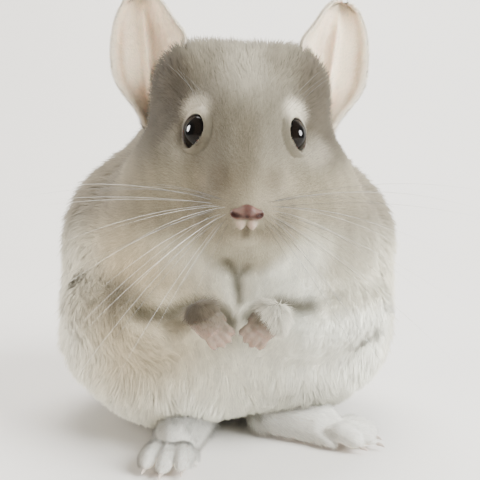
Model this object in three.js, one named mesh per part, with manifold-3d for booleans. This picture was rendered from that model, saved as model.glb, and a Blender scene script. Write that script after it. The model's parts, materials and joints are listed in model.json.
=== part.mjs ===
// A chinchilla, life size, standing upright on its hind feet with its forepaws held together
// under the chin. It faces -Y, its left side is +X, the floor is z = 0, sizes are millimetres.
// The outer surface is the coat's own surface. Neighbouring pieces keep a thin gap.
import * as THREE from "three";
import { mergeVertices } from "three/addons/utils/BufferGeometryUtils.js";
import Module from "manifold-3d";

const wasm = await Module();
wasm.setup();

// Driving sizes
const BODY_WIDTH = 141;
const BODY_DEPTH = 126;
const CROWN_HEIGHT = 160;
const HEAD_WIDTH = 72;
const EYE_SPACING = 42;
const EYE_RADIUS = 7.4;
const EAR_LENGTH = 54;
const EAR_WIDTH = 28;
const EAR_WALL = 1.5;
const HAND_LENGTH = 15;
const FOOT_LENGTH = 56;
const FOOT_WIDTH = 13;
const GAP = 0.3;

const UP = new THREE.Vector3(0, 0, 1);
const point = (x, y, z) => new THREE.Vector3(x, y, z);
const mix = THREE.MathUtils.lerp;
const radians = THREE.MathUtils.degToRad;
const SIDES = [
  ["right", -1],
  ["left", 1],
];

// A seeded draw, so that every run gives the same coat
function seeded(seed) {
  let state = seed;
  return () => {
    state = (state * 1664525 + 1013904223) % 4294967296;
    return state / 4294967296;
  };
}

// Solids and geometries. A grown solid has its surface moved outwards
function solidOf(geometry, grow = 0) {
  const bare = geometry.clone();
  bare.deleteAttribute("normal");
  bare.deleteAttribute("uv");
  const merged = mergeVertices(bare, 1e-4);
  const facing = merged.index.array;
  const asSolid = () => {
    const vertProperties = new Float32Array(merged.attributes.position.array);
    const mesh = { numProp: 3, vertProperties, triVerts: new Uint32Array(facing) };
    return new wasm.Manifold(new wasm.Mesh(mesh));
  };
  const made = asSolid();
  if (made.volume() > 0 && grow === 0) return made;
  if (made.volume() < 0) facing.reverse();
  merged.computeVertexNormals();
  const places = merged.attributes.position;
  const way = new THREE.Vector3();
  for (let i = 0; i < places.count; i++) {
    way.fromBufferAttribute(merged.attributes.normal, i).multiplyScalar(grow);
    places.setXYZ(i, places.getX(i) + way.x, places.getY(i) + way.y, places.getZ(i) + way.z);
  }
  return asSolid();
}

function largestOf(solid) {
  const bodies = solid.decompose().filter((body) => body.volume() > 0);
  return bodies.reduce((a, b) => (a.volume() > b.volume() ? a : b));
}

function geometryOf(solid) {
  const mesh = largestOf(solid).getMesh();
  const geometry = new THREE.BufferGeometry();
  geometry.setAttribute("position", new THREE.BufferAttribute(mesh.vertProperties, 3));
  geometry.setIndex(new THREE.BufferAttribute(mesh.triVerts, 1));
  geometry.computeVertexNormals();
  return geometry;
}

const joined = (solids) => solids.reduce((a, b) => a.add(b));
const cutBy = (solid, tools) => tools.reduce((a, b) => a.subtract(b), solid);

// Distance fields: an egg, a smooth join of several, and one moved to a pose
function egg(centre, radii) {
  const k0 = new THREE.Vector3();
  const k1 = new THREE.Vector3();
  const squares = radii.clone().multiply(radii);
  return (p) => {
    k0.copy(p).sub(centre);
    k1.copy(k0).divide(squares);
    const inner = k0.divide(radii).length();
    return inner < 1e-6 ? -Math.min(radii.x, radii.y, radii.z) : (inner * (inner - 1)) / k1.length();
  };
}

function melt(blend, fields) {
  return (p) =>
    fields
      .map((field) => field(p))
      .reduce((a, b) => {
        const h = Math.max(blend - Math.abs(a - b), 0) / blend;
        return Math.min(a, b) - (h * h * blend) / 4;
      });
}

function posed(field, matrix) {
  const back = matrix.clone().invert();
  const local = new THREE.Vector3();
  return (p) => field(local.copy(p).applyMatrix4(back));
}

const pair = (centre, radii) =>
  SIDES.map(([, side]) => egg(point(side * centre.x, centre.y, centre.z), radii));

// A sphere whose points are pushed out to a field's surface
function wrapped(field, centre, sphere, grow = 0) {
  const STEP = 1.2;
  const places = sphere.attributes.position;
  const way = new THREE.Vector3();
  const at = new THREE.Vector3();
  for (let i = 0; i < places.count; i++) {
    way.fromBufferAttribute(places, i).normalize();
    const outside = (r) => field(at.copy(centre).addScaledVector(way, r)) > grow;
    let near = 0;
    while (!outside(near + STEP)) near += STEP;
    let far = near + STEP;
    for (let n = 0; n < 14; n++) {
      const middle = (near + far) / 2;
      if (outside(middle)) far = middle;
      else near = middle;
    }
    at.copy(centre).addScaledVector(way, near);
    places.setXYZ(i, at.x, at.y, at.z);
  }
  return sphere;
}

// A sphere with its pole along a direction, its rings drawn together towards the pole
function poledSphere(columns, rings, towards, crowding) {
  const sphere = new THREE.SphereGeometry(1, columns, rings);
  const places = sphere.attributes.position;
  const turn = new THREE.Quaternion().setFromUnitVectors(point(0, 1, 0), towards.clone().normalize());
  const p = new THREE.Vector3();
  for (let i = 0; i < places.count; i++) {
    p.fromBufferAttribute(places, i);
    const share = Math.acos(THREE.MathUtils.clamp(p.y, -1, 1)) / Math.PI;
    const angle = Math.PI * mix(share, share * share, crowding);
    const round = Math.hypot(p.x, p.z) || 1;
    p.set((p.x / round) * Math.sin(angle), Math.cos(angle), (p.z / round) * Math.sin(angle));
    if (share < 1e-6 || share > 1 - 1e-6) p.set(0, share < 0.5 ? 1 : -1, 0);
    p.applyQuaternion(turn);
    places.setXYZ(i, p.x, p.y, p.z);
  }
  return sphere;
}

// A closed tapering limb: the rings of a sphere are strung along a curve
function limb(points, width, { sides = 8, rings = 8, flat = 1, grow = 0, facing = UP } = {}) {
  const curve = new THREE.CatmullRomCurve3(points);
  const ball = new THREE.SphereGeometry(1, sides, rings);
  const places = ball.attributes.position;
  const p = new THREE.Vector3();
  for (let i = 0; i < places.count; i++) {
    p.fromBufferAttribute(places, i);
    const share = Math.round((Math.acos(THREE.MathUtils.clamp(p.y, -1, 1)) / Math.PI) * rings) / rings;
    const round = Math.atan2(p.z, p.x);
    const along = curve.getTangent(share);
    const side = along.clone().cross(facing).normalize();
    const over = side.clone().cross(along).normalize();
    const atEnd = share < 1e-6 || share > 1 - 1e-6;
    const radius = atEnd ? 0 : width(share);
    const at = curve.getPoint(share);
    at.addScaledVector(side, Math.cos(round) * radius);
    at.addScaledVector(over, Math.sin(round) * radius * flat);
    places.setXYZ(i, at.x, at.y, at.z);
  }
  return solidOf(ball, grow);
}

const roundEnded = (start, end, bulge = 0) => (t) =>
  (mix(start, end, t) + bulge * Math.sin(Math.PI * t)) * Math.min(1, Math.sin(Math.PI * t) * 1.6);

function eggSolid(centre, radii, columns, rings, grow = 0) {
  const ball = new THREE.SphereGeometry(1, columns, rings);
  ball.scale(radii.x, radii.y, radii.z);
  ball.translate(centre.x, centre.y, centre.z);
  return solidOf(ball, grow);
}

// Everything below the floor
const floorBlock = (() => {
  const block = new THREE.BoxGeometry(600, 600, 60);
  block.translate(0, 0, -30);
  return solidOf(block);
})();

// The head's pose: a small turn and tilt
const HEAD_CENTRE = point(5.2, -38, 0.738 * CROWN_HEIGHT);
const HEAD_TURN = radians(4.1);
const HEAD_TILT = radians(2.4);
const headPose = new THREE.Matrix4()
  .makeRotationFromEuler(new THREE.Euler(0, HEAD_TILT, HEAD_TURN))
  .setPosition(HEAD_CENTRE);
const onHead = (x, y, z) => point(x, y, z).applyMatrix4(headPose);

// The torso's form, with its broad base, round back and fluffed chest
const HALF = BODY_WIDTH / 2;
const DEEP = BODY_DEPTH / 2;
const torsoField = melt(16, [
  egg(point(0, 0, 50), point(HALF - 2, DEEP, 47)),
  egg(point(-34, -4, 37), point(33, 46, 32)),
  egg(point(31, -4, 38), point(32, 46, 31)),
  egg(point(-22, -31, 24), point(23, 25, 18)),
  egg(point(0, 24, 32), point(48, 38, 31)),
  egg(point(1, 12, 84), point(54, 43, 44)),
  egg(point(-28, -4, 80), point(40, 42, 33)),
  egg(point(29, -4, 79), point(40, 41, 32)),
  egg(point(3, -8, 119), point(36, 32, 28)),
  egg(point(-19, -40, 84), point(28, 23, 19)),
  egg(point(29, -40, 85), point(28, 23, 19)),
]);

// The head's form in its own frame: skull, temples, brow, cheeks, snout and whisker pads
const HEAD_HALF = HEAD_WIDTH / 2;
const NOSE = point(0, -46, -22.5);
const EYE_FACING = point(0.8, -0.57, 0.2).normalize();
const skullField = melt(8, [
  egg(point(0, 12, 9), point(HEAD_HALF - 2, 31, 31)),
  ...pair(point(18, 8, 22), point(17, 18, 18)),
  egg(point(0, -9, 6), point(21.5, 25, 21)),
  ...pair(point(23, -2, -13), point(20, 23, 22)),
  egg(point(0, -24, -8), point(14, 20, 14)),
]);
const headField = melt(5, [
  skullField,
  egg(point(0, -36, -19), point(8.5, 9, 8)),
  ...pair(point(8.5, -31, -23), point(10.5, 10, 9)),
  egg(point(0, -27, -33), point(10, 9, 7)),
]);

// The head is cut from the body along this egg
const HEAD_CUT = { centre: onHead(0, 0, 2), radii: point(52, 56, 47) };
const headCut = (grow) => eggSolid(HEAD_CUT.centre, HEAD_CUT.radii, 20, 13, grow);

const wholeField = melt(12, [torsoField, posed(headField, headPose)]);
const nearHead = egg(HEAD_CUT.centre, HEAD_CUT.radii.clone().addScalar(4));
const headShellField = (p) => Math.max(wholeField(p), nearHead(p));

const bodyRaw = solidOf(
  wrapped(wholeField, point(0, 0, 60), new THREE.SphereGeometry(1, 36, 24).rotateX(Math.PI / 2)),
).subtract(floorBlock);
const headRaw = solidOf(
  wrapped(headShellField, HEAD_CENTRE, poledSphere(36, 25, point(0, -0.85, -0.35), 0.35)),
);

// The way out through the head's surface, from a point inside it
function throughSkin(from, towards, lift = 0) {
  const way = towards.clone().sub(from).normalize();
  const at = from.clone();
  while (headField(at) < lift) at.addScaledVector(way, 0.1);
  return at;
}

// Eyes and lids: each ball stands a little out of the fur
const EYE_STANDS_OUT = 3;
const EYE = throughSkin(point(3, -14, 6.5), point(EYE_SPACING / 2, -23.5, 6.2)).addScaledVector(
  EYE_FACING,
  EYE_STANDS_OUT - EYE_RADIUS,
);
const eyeCentre = (side) => onHead(side * EYE.x, EYE.y, EYE.z);
const EYE_RADII = point(EYE_RADIUS, EYE_RADIUS, EYE_RADIUS);
const eyeBall = (side, grow) => eggSolid(eyeCentre(side), EYE_RADII, 14, 9, grow);

function lidRing(side) {
  const LID_HEIGHT = 6.2;
  const LID_LENGTH = 5.8;
  const LID_THICKNESS = 0.95;
  const ring = new THREE.TorusGeometry(1, 0.1, 5, 16);
  const places = ring.attributes.position;
  const facing = point(side * EYE_FACING.x, EYE_FACING.y, EYE_FACING.z);
  const high = point(side * -0.1, -0.25, 1).addScaledVector(facing, -0.3).normalize();
  const wide = facing.clone().cross(high).normalize();
  high.crossVectors(wide, facing).normalize();
  const p = new THREE.Vector3();
  for (let i = 0; i < places.count; i++) {
    p.fromBufferAttribute(places, i);
    const round = Math.atan2(p.y, p.x);
    const out = (Math.hypot(p.x, p.y) - 1) / 0.1;
    const lift = p.z / 0.1;
    const corner = 1 + 0.14 * Math.max(0, -Math.sin(round)) ** 3;
    const thick = LID_THICKNESS * (1 + 0.35 * Math.max(0, Math.sin(round)));
    const across = (LID_LENGTH + out * thick) * Math.cos(round);
    const along = (LID_HEIGHT + out * thick) * Math.sin(round) * corner;
    const depth = Math.sqrt(EYE_RADIUS ** 2 - LID_LENGTH ** 2) + lift * thick;
    const at = point(side * EYE.x, EYE.y, EYE.z)
      .addScaledVector(facing, depth)
      .addScaledVector(wide, across)
      .addScaledVector(high, along)
      .applyMatrix4(headPose);
    places.setXYZ(i, at.x, at.y, at.z);
  }
  return solidOf(ring);
}

const groove = (points, width) =>
  limb(points, (t) => width * Math.min(1, Math.sin(Math.PI * t) * 1.8), { sides: 5, rings: 6 });

// Nose pad, split upper lip and lower lip stand out of the snout
const noseAndLips = [
  eggSolid(onHead(0, -44.2, -20.3), point(6.2, 3.2, 3.3), 14, 10),
  ...SIDES.map(([, side]) => eggSolid(onHead(side * 2.7, -42, -25.6), point(3.2, 3.2, 3.6), 10, 8)),
  eggSolid(onHead(0, -37.8, -31.4), point(3.6, 3.4, 2.8), 10, 8),
];

const faceGrooves = [
  ...SIDES.map(([, side]) =>
    groove(
      [onHead(side * 1.6, -47.6, -21.8), onHead(side * 3.4, -46.9, -20.2), onHead(side * 5.6, -44.6, -20)],
      0.9,
    ),
  ),
  groove([onHead(0, -47.8, -22), onHead(0, -45.6, -24.6), onHead(0, -43.4, -28.2)], 0.6),
  groove(
    [
      onHead(-8.4, -35.8, -31.2),
      onHead(-4.4, -40.4, -29.2),
      onHead(0, -42.4, -27.8),
      onHead(4.4, -40.4, -29.2),
      onHead(8.4, -35.8, -31.2),
    ],
    0.8,
  ),
];

// Whiskers: three rows on each pad, long and drooping towards their tips
function whisker(side, row, column) {
  const onPad = point(side * (8.5 + 2.4 * column), NOSE.y, -19 - 3.2 * row);
  const root = throughSkin(point(0, -18, -14), onPad, -1.5).applyMatrix4(headPose);
  const length = mix(64, 82, column / 2) - 5 * row;
  const spread = radians(mix(14, -34, (row + 0.3 * column) / 2.6));
  const sweep = radians(mix(-28, 6, column / 2) - 9 * row);
  const way = point(side * Math.cos(spread) * Math.cos(sweep), Math.sin(sweep), Math.sin(spread));
  const out = (share, droop) =>
    root.clone().addScaledVector(way, length * share).add(point(0, length * 0.12 * share * share, -droop));
  const points = [root, out(0.33, 1.2), out(0.66, length * 0.08), out(1, length * 0.26)];
  return limb(points, (t) => mix(0.62, 0.26, t), { sides: 4, rings: 5 });
}
const whiskers = [];
for (const [, side] of SIDES) {
  for (let row = 0; row < 3; row++) {
    for (let column = 0; column < 3; column++) whiskers.push(whisker(side, row, column));
  }
}

// An ear's half width at s across it, from -1 at its outer rim to 1 at its inner one, and t along it
function earBreadth(s, t) {
  const WIDEST = 0.55;
  const INNER_LOBE = 0.29;
  const stem = 0.25 + 0.75 * THREE.MathUtils.smoothstep(t, 0, 0.5);
  const tip = Math.sqrt(Math.max(0.01, 1 - Math.max(0, (t - WIDEST) / (1 - WIDEST)) ** 2));
  const lobe = s > 0 ? INNER_LOBE * Math.exp(-(((t - 0.6) / 0.13) ** 2)) : 0;
  return (EAR_WIDTH / 2) * stem * tip * (1 + lobe);
}

// An ear: a leaf cupped forwards along its length, with a fold down its inner face
function earSheet(side, grow) {
  const COLUMNS = 10;
  const ROWS = 9;
  const FOLD_HEIGHT = 2.2;
  const CUP_DEPTH = 10.5;
  const slab = new THREE.BoxGeometry(2, 2, 2, COLUMNS, ROWS, 1);
  const places = slab.attributes.position;
  const axis = point(side * 0.17, 0.1, 0.93).normalize();
  const facing = point(side * 0.46, -1, 0.12).normalize();
  const across = axis.clone().cross(facing).multiplyScalar(-side).normalize();
  const front = axis.clone().cross(across).multiplyScalar(side).normalize();
  const leaf = (s, t) => {
    const opening = mix(0.4, 1, THREE.MathUtils.smoothstep(t, 0, 0.4));
    const cup = CUP_DEPTH * opening * (1 - 0.45 * t) * s * s + 4 * Math.max(0, s) ** 3 * (1 - t);
    return point(side * 30.8, 13.8, 4)
      .addScaledVector(axis, EAR_LENGTH * t)
      .addScaledVector(across, s * earBreadth(s, t))
      .addScaledVector(front, cup - 5 * Math.sin((Math.PI / 2) * t));
  };
  for (let i = 0; i < places.count; i++) {
    const s = places.getX(i);
    const t = Math.sin((Math.PI / 4) * (places.getY(i) + 1));
    const face = Math.sign(places.getZ(i));
    const along = leaf(s, Math.min(t, 0.96) + 0.02).sub(leaf(s, Math.min(t, 0.96) - 0.02));
    const over = leaf(s + 0.02, Math.min(t, 0.96)).sub(leaf(s - 0.02, Math.min(t, 0.96)));
    const normal = over.cross(along).normalize();
    if (normal.dot(front) < 0) normal.negate();
    const ridge = Math.exp(-(((s - 0.05) / 0.16) ** 2)) * Math.sin(Math.PI * Math.min(1, t * 1.1)) ** 2;
    const wall = (face * EAR_WALL * (1 - 0.35 * Math.abs(s) ** 4)) / 2;
    const at = leaf(s, t)
      .addScaledVector(normal, wall + (face > 0 ? FOLD_HEIGHT * ridge : 0))
      .applyMatrix4(headPose);
    places.setXYZ(i, at.x, at.y, at.z);
  }
  return solidOf(slab, grow);
}

// Arms: fluffed forearms that come forward under the chest
const WRIST = point(12, -71, 58);
const armLine = (side) => [
  point(side * 53, -16, 60),
  point(side * 46, -38, 55),
  point(side * 30, -58, 53),
  point(side * WRIST.x + 4, WRIST.y + 3, WRIST.z - 1),
];
const arm = (side, grow) =>
  limb(armLine(side), roundEnded(20, 9, 1), { sides: 14, rings: 10, grow });

// Hands: a small palm with four curled fingers
const HAND_TURN = radians(40);
const handPlace = (side) =>
  new THREE.Matrix4()
    .makeRotationFromEuler(new THREE.Euler(0, side * HAND_TURN, 0))
    .setPosition(point(side * 10.2 + 4, -74.5, 58));
const FINGERS = 4;

function fingerLine(side, finger) {
  const spread = (finger - (FINGERS - 1) / 2) * 2.5 * side;
  const reach = HAND_LENGTH * (finger === 0 || finger === FINGERS - 1 ? 0.62 : 0.7);
  return [
    point(spread * 0.8, -1.5, -2),
    point(spread, -3.6, -5.5),
    point(spread * 1.1, -2.8, -reach + 1.5),
    point(spread * 1.1, -1, -reach),
  ].map((p) => p.applyMatrix4(handPlace(side)));
}

const fingerClawLine = (side, finger) => {
  const line = fingerLine(side, finger);
  const tip = line[3];
  const way = tip.clone().sub(line[2]).normalize();
  return [
    tip.clone().addScaledVector(way, -1.4),
    tip.clone().addScaledVector(way, 0.4),
    tip.clone().addScaledVector(way, 1.5).add(point(0, 0, -0.7)),
  ];
};

function hand(side, grow) {
  const at = (x, y, z) => point(side * x, y, z).applyMatrix4(handPlace(side));
  const palm = limb([at(2.5, 3, 8), at(0.8, 0, 3), at(0, -1.2, -3), at(0, -1, -5.5)], roundEnded(5.2, 5.4, 0.6), {
    sides: 10,
    rings: 7,
    flat: 0.8,
    grow,
    facing: point(0, -1, 0),
  });
  const fingers = Array.from({ length: FINGERS }, (_, finger) =>
    limb(fingerLine(side, finger), roundEnded(1.7, 1.35), { sides: 6, rings: 5, grow, facing: point(0, -1, 0) }),
  );
  return joined([palm, ...fingers]);
}

const clawTaper = (radius) => (t) => radius * (1 - t) ** 0.7 * Math.min(1, t * 8);
const claw = (line, radius, grow) =>
  limb(line, clawTaper(radius), { sides: 5, rings: 4, grow, facing: point(0.1, -1, 0.2) });

// Hind feet: a long sole, a round heel and three toes, with a small inner toe
const FEET = {
  right: { heel: point(-14, -26, 0), heading: radians(-100), side: -1 },
  left: { heel: point(10, -22, 0), heading: radians(-29), side: 1 },
};
const TOES = 3;
const footPlace = ({ heel, heading }) => new THREE.Matrix4().makeRotationZ(heading).setPosition(heel);

function toeLine(foot, toe) {
  const across = (toe - (TOES - 1) / 2) * 5.6;
  const reach = toe === 1 ? FOOT_LENGTH : FOOT_LENGTH - 4;
  return [
    point(FOOT_LENGTH - 24, across * 0.55, 5.2),
    point(FOOT_LENGTH - 15, across * 0.9, 6.4),
    point(FOOT_LENGTH - 8, across * 1.15, 5),
    point(reach, across * 1.25, 2.6),
  ].map((p) => p.applyMatrix4(footPlace(foot)));
}

const toeClawLine = (foot, toe) => {
  const tip = toeLine(foot, toe)[3];
  const way = point(1, (toe - 1) * 0.12, 0).transformDirection(footPlace(foot));
  return [
    tip.clone().addScaledVector(way, -2),
    tip.clone().addScaledVector(way, 1).add(point(0, 0, 0.2)),
    tip.clone().addScaledVector(way, 3).add(point(0, 0, -1)),
  ];
};

function footSolid(foot, grow) {
  const at = (x, y, z) => point(x, y, z).applyMatrix4(footPlace(foot));
  const sole = limb(
    [at(-3, 0, 6.5), at(10, 0, 7.4), at(26, 0, 6.6), at(FOOT_LENGTH - 12, 0, 4.4)],
    roundEnded(FOOT_WIDTH / 2 + 0.8, FOOT_WIDTH / 2 + 1.8, 0.4),
    { sides: 10, rings: 8, grow },
  );
  const toes = Array.from({ length: TOES }, (_, toe) =>
    limb(toeLine(foot, toe), roundEnded(3.7, 3, 0.3), { sides: 7, rings: 6, grow }),
  );
  const innerToe = limb(
    [
      at(FOOT_LENGTH - 27, -foot.side * 4, 4),
      at(FOOT_LENGTH - 21, -foot.side * 7.2, 3.4),
      at(FOOT_LENGTH - 15, -foot.side * 8.6, 2.2),
    ],
    roundEnded(2.4, 1.9),
    { sides: 6, rings: 5, grow },
  );
  return joined([sole, ...toes, innerToe]);
}

// Thighs are cut from the body's lower sides along these eggs
const thighCut = (side, grow) =>
  eggSolid(point(side * 44, -8, 30), point(30, 42, 29), 18, 12, grow);

// The tail: a short-haired base, then a brush of long bristles that lie back along it
const TAIL_LINE = new THREE.CatmullRomCurve3([
  point(2, 42, 14),
  point(6, 66, 11),
  point(15, 92, 11),
  point(27, 116, 15),
  point(37, 139, 24),
]);
const TAIL_SPLIT = 0.24;
const tailPoints = (from, to) => {
  const COUNT = 5;
  return Array.from({ length: COUNT }, (_, i) => TAIL_LINE.getPointAt(mix(from, to, i / (COUNT - 1))));
};
const tailBase = (grow) =>
  limb(tailPoints(0, TAIL_SPLIT + 0.06), (t) => mix(14, 9.5, t) * Math.min(1, 2.6 * Math.sin(Math.PI * t)), {
    sides: 12,
    rings: 9,
    grow,
  });

function tailBrush() {
  const CORE_START = 8;
  const CORE_END = 3.4;
  const RINGS_OF_LOCKS = 6;
  const LOCKS_ROUND = 7;
  const LOCK_WIDTH = 5;
  const draw = seeded(41);
  const core = limb(tailPoints(TAIL_SPLIT, 0.96), (t) => mix(CORE_START, CORE_END, t), { sides: 8, rings: 8 });
  const locks = [];
  for (let ring = 0; ring < RINGS_OF_LOCKS; ring++) {
    const share = ring / (RINGS_OF_LOCKS - 1);
    const along = mix(TAIL_SPLIT + 0.03, 0.9, share);
    const way = TAIL_LINE.getTangentAt(along);
    const side = way.clone().cross(UP).normalize();
    const over = side.clone().cross(way).normalize();
    const middle = TAIL_LINE.getPointAt(along);
    for (let n = 0; n < LOCKS_ROUND; n++) {
      const round = ((n + (ring % 2) / 2 + 0.3 * (draw() - 0.5)) / LOCKS_ROUND) * 2 * Math.PI;
      const out = side.clone().multiplyScalar(Math.cos(round)).addScaledVector(over, Math.sin(round));
      const top = 0.5 + 0.5 * Math.sin(round);
      const length = mix(20, 31, top) * mix(0.85, 1.1, draw());
      const lift = radians(mix(9, 34, top)) * mix(0.85, 1.15, draw());
      const depth = mix(CORE_START, CORE_END, share) * 0.6;
      const start = middle.clone().addScaledVector(out, depth);
      const reach = (part, bend) =>
        start
          .clone()
          .addScaledVector(way, length * part * Math.cos(lift * bend))
          .addScaledVector(out, length * part * Math.sin(lift * bend));
      const line = [start, reach(0.35, 1.3), reach(0.7, 1.05), reach(1, 0.8)];
      const width = (t) => LOCK_WIDTH * mix(0.8, 1.1, top) * Math.sin(Math.PI * t ** 0.6);
      locks.push(limb(line, width, { sides: 4, rings: 4, flat: 0.36, facing: out }));
    }
  }
  return joined([core, ...locks]);
}

// Putting the nodes together: inner pieces keep their shape, outer ones are cut clear of them
const materials = {
  coat: new THREE.MeshStandardMaterial({ color: 0xa8a297, roughness: 0.95, metalness: 0 }),
  pale: new THREE.MeshStandardMaterial({ color: 0xdedcd0, roughness: 0.95, metalness: 0 }),
  skin: new THREE.MeshStandardMaterial({ color: 0xdcc3b4, roughness: 0.7, metalness: 0 }),
  eye: new THREE.MeshStandardMaterial({ color: 0x14100e, roughness: 0.08, metalness: 0 }),
  claw: new THREE.MeshStandardMaterial({ color: 0xb9a99b, roughness: 0.5, metalness: 0 }),
};
const chinchilla = new THREE.Group();
chinchilla.name = "chinchilla";

function place(name, solid, material) {
  const mesh = new THREE.Mesh(geometryOf(solid), material);
  mesh.name = name;
  chinchilla.add(mesh);
}

const bothSides = (make) => SIDES.map(([, side]) => make(side));
const everyToe = (make) =>
  Object.values(FEET).flatMap((foot) => Array.from({ length: TOES }, (_, toe) => make(foot, toe)));
const everyFinger = (make) =>
  SIDES.flatMap(([, side]) => Array.from({ length: FINGERS }, (_, finger) => make(side, finger)));

const grownEars = bothSides((side) => earSheet(side, 1.5 * GAP));
const grownEyes = bothSides((side) => eyeBall(side, GAP));
const grownHands = bothSides((side) => hand(side, GAP));
const grownArms = bothSides((side) => arm(side, GAP));
const grownFeet = Object.values(FEET).map((foot) => footSolid(foot, GAP));
const toeClaws = (grow) => everyToe((foot, toe) => claw(toeClawLine(foot, toe), 1.25, grow));
const fingerClaws = (grow) => everyFinger((side, finger) => claw(fingerClawLine(side, finger), 0.62, grow));
const grownTailBase = tailBase(GAP);

const faceFlesh = joined([headRaw.intersect(headCut(0)), ...noseAndLips, ...bothSides(lidRing)]);
const face = cutBy(faceFlesh, [...faceGrooves, ...grownEyes, ...grownEars]);
place("head", joined([largestOf(face), ...whiskers]), materials.coat);

const trunk = cutBy(bodyRaw, [headCut(GAP), ...grownEars, ...grownHands, ...grownArms, ...grownFeet, grownTailBase]);
place("torso", cutBy(trunk, bothSides((side) => thighCut(side, GAP))), materials.coat);

for (const [name, side] of SIDES) {
  place(`ear_${name}`, earSheet(side, 0), materials.skin);
  place(`eye_${name}`, eyeBall(side, 0), materials.eye);
  place(`thigh_${name}`, trunk.intersect(thighCut(side, 0)), materials.pale);
  place(`arm_${name}`, cutBy(arm(side, 0), [headCut(GAP), ...grownHands]), materials.pale);
  const fingersCut = everyFinger((s, finger) => claw(fingerClawLine(s, finger), 0.62, GAP));
  place(`hand_${name}`, cutBy(hand(side, 0), [...fingersCut, headCut(GAP)]), materials.skin);
  for (let finger = 0; finger < FINGERS; finger++) {
    place(`hand_claw_${name}_${finger + 1}`, claw(fingerClawLine(side, finger), 0.62, 0), materials.claw);
  }
  const foot = FEET[name];
  place(`foot_${name}`, cutBy(footSolid(foot, 0), [...toeClaws(GAP), floorBlock]), materials.pale);
  for (let toe = 0; toe < TOES; toe++) {
    place(`foot_claw_${name}_${toe + 1}`, claw(toeClawLine(foot, toe), 1.25, 0), materials.claw);
  }
}

place("tail_base", cutBy(tailBase(0), [floorBlock]), materials.coat);
place("tail_brush", cutBy(tailBrush(), [floorBlock, grownTailBase, bodyRaw]), materials.coat);

// The origin is on the floor, under the middle of the whole
const reach = new THREE.Box3().setFromObject(chinchilla);
const middle = reach.getCenter(new THREE.Vector3());
chinchilla.position.set(-middle.x, -middle.y, -reach.min.z);

export default chinchilla;
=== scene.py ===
"""The looks of a life-size chinchilla that sits up with its forepaws together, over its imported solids.

Lengths inside the functions are millimetres in the animal's own frame: it faces -Y, its left is +X.
"""

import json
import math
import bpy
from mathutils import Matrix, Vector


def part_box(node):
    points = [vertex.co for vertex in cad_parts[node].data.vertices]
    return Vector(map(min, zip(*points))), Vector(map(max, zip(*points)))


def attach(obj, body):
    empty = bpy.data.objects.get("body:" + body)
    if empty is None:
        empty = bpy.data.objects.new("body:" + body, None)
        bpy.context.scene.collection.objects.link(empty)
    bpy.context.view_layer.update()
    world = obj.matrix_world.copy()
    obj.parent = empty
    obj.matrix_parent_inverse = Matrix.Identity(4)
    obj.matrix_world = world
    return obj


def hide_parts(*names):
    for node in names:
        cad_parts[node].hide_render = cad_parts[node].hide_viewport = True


bl_info = {
    "name": "Sitting Chinchilla",
    "version": (1, 0, 0),
    "blender": (4, 5, 0),
    "location": "3D View > Sidebar > Chinchilla",
    "description": "Skin, plush coat, face, paws and tail of a sitting chinchilla",
    "category": "Add Mesh",
}

import bmesh
import bpy
import numpy as np
from bpy.props import FloatProperty, FloatVectorProperty, IntProperty, PointerProperty
from mathutils import Matrix, Vector, kdtree

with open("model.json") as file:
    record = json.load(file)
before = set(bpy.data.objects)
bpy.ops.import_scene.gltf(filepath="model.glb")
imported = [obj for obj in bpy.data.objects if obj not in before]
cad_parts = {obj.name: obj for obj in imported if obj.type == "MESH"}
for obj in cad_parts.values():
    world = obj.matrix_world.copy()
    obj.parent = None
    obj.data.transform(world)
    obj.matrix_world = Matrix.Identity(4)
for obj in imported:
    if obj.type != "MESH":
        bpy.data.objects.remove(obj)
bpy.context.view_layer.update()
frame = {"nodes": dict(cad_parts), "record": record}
SIDES = {"right": -1, "left": 1}

# The feet, by side: the heel's place and the way the toes point
HEELS = {-1: (-14, -26, 0), 1: (10, -22, 0)}
HEADINGS = {-1: math.radians(-100), 1: math.radians(-29)}


def foot_ahead(side):
    return np.array([math.cos(HEADINGS[side]), math.sin(HEADINGS[side]), 0])


# The sole's mount has a known place in the animal's frame, and gives the frame's shift
SOLE = np.array(HEELS[-1]) + 27 * foot_ahead(-1)
SHIFT = np.array(frame["record"]["mounts"][0]["pos_m"]) * 1000 - SOLE

# The head's pose, and the lines of the limbs and the tail, as the solids have them
HEAD_CENTRE = np.array([5.2, -38.0, 118.08])
HEAD_AXES = np.array(
    Matrix.Rotation(math.radians(2.4), 3, "Y") @ Matrix.Rotation(math.radians(4.1), 3, "Z")
)
NOSE = np.array([0.0, -46.0, -22.5])
EYE_FACING = np.array([0.8, -0.57, 0.2]) / np.linalg.norm([0.8, -0.57, 0.2])
EYE_RADIUS = 7.4
TAIL_LINE = np.array([(2, 42, 14), (6, 66, 11), (15, 92, 11), (27, 116, 15), (37, 139, 24)], float)
FLESH = ["head", "torso", "thigh_right", "thigh_left", "arm_right", "arm_left"]


def arm_line(side):
    return np.array(
        [(side * 53, -16, 60), (side * 46, -38, 55), (side * 30, -58, 53), (side * 12 + 4, -68, 57)], float
    )


def node_middle(name):
    low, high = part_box(name)
    return np.array((low + high) / 2) * 1000 - SHIFT


def on_head(local):
    return np.asarray(local, float) @ HEAD_AXES.T + HEAD_CENTRE


def to_head(points):
    return (np.asarray(points, float) - HEAD_CENTRE) @ HEAD_AXES


def unit(vectors):
    return vectors / np.maximum(np.linalg.norm(vectors, axis=-1, keepdims=True), 1e-9)


def smooth(low, high, value):
    share = np.clip((value - low) / (high - low), 0, 1)
    return share * share * (3 - 2 * share)


def mix(a, b, share):
    return a + (b - a) * share


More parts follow.
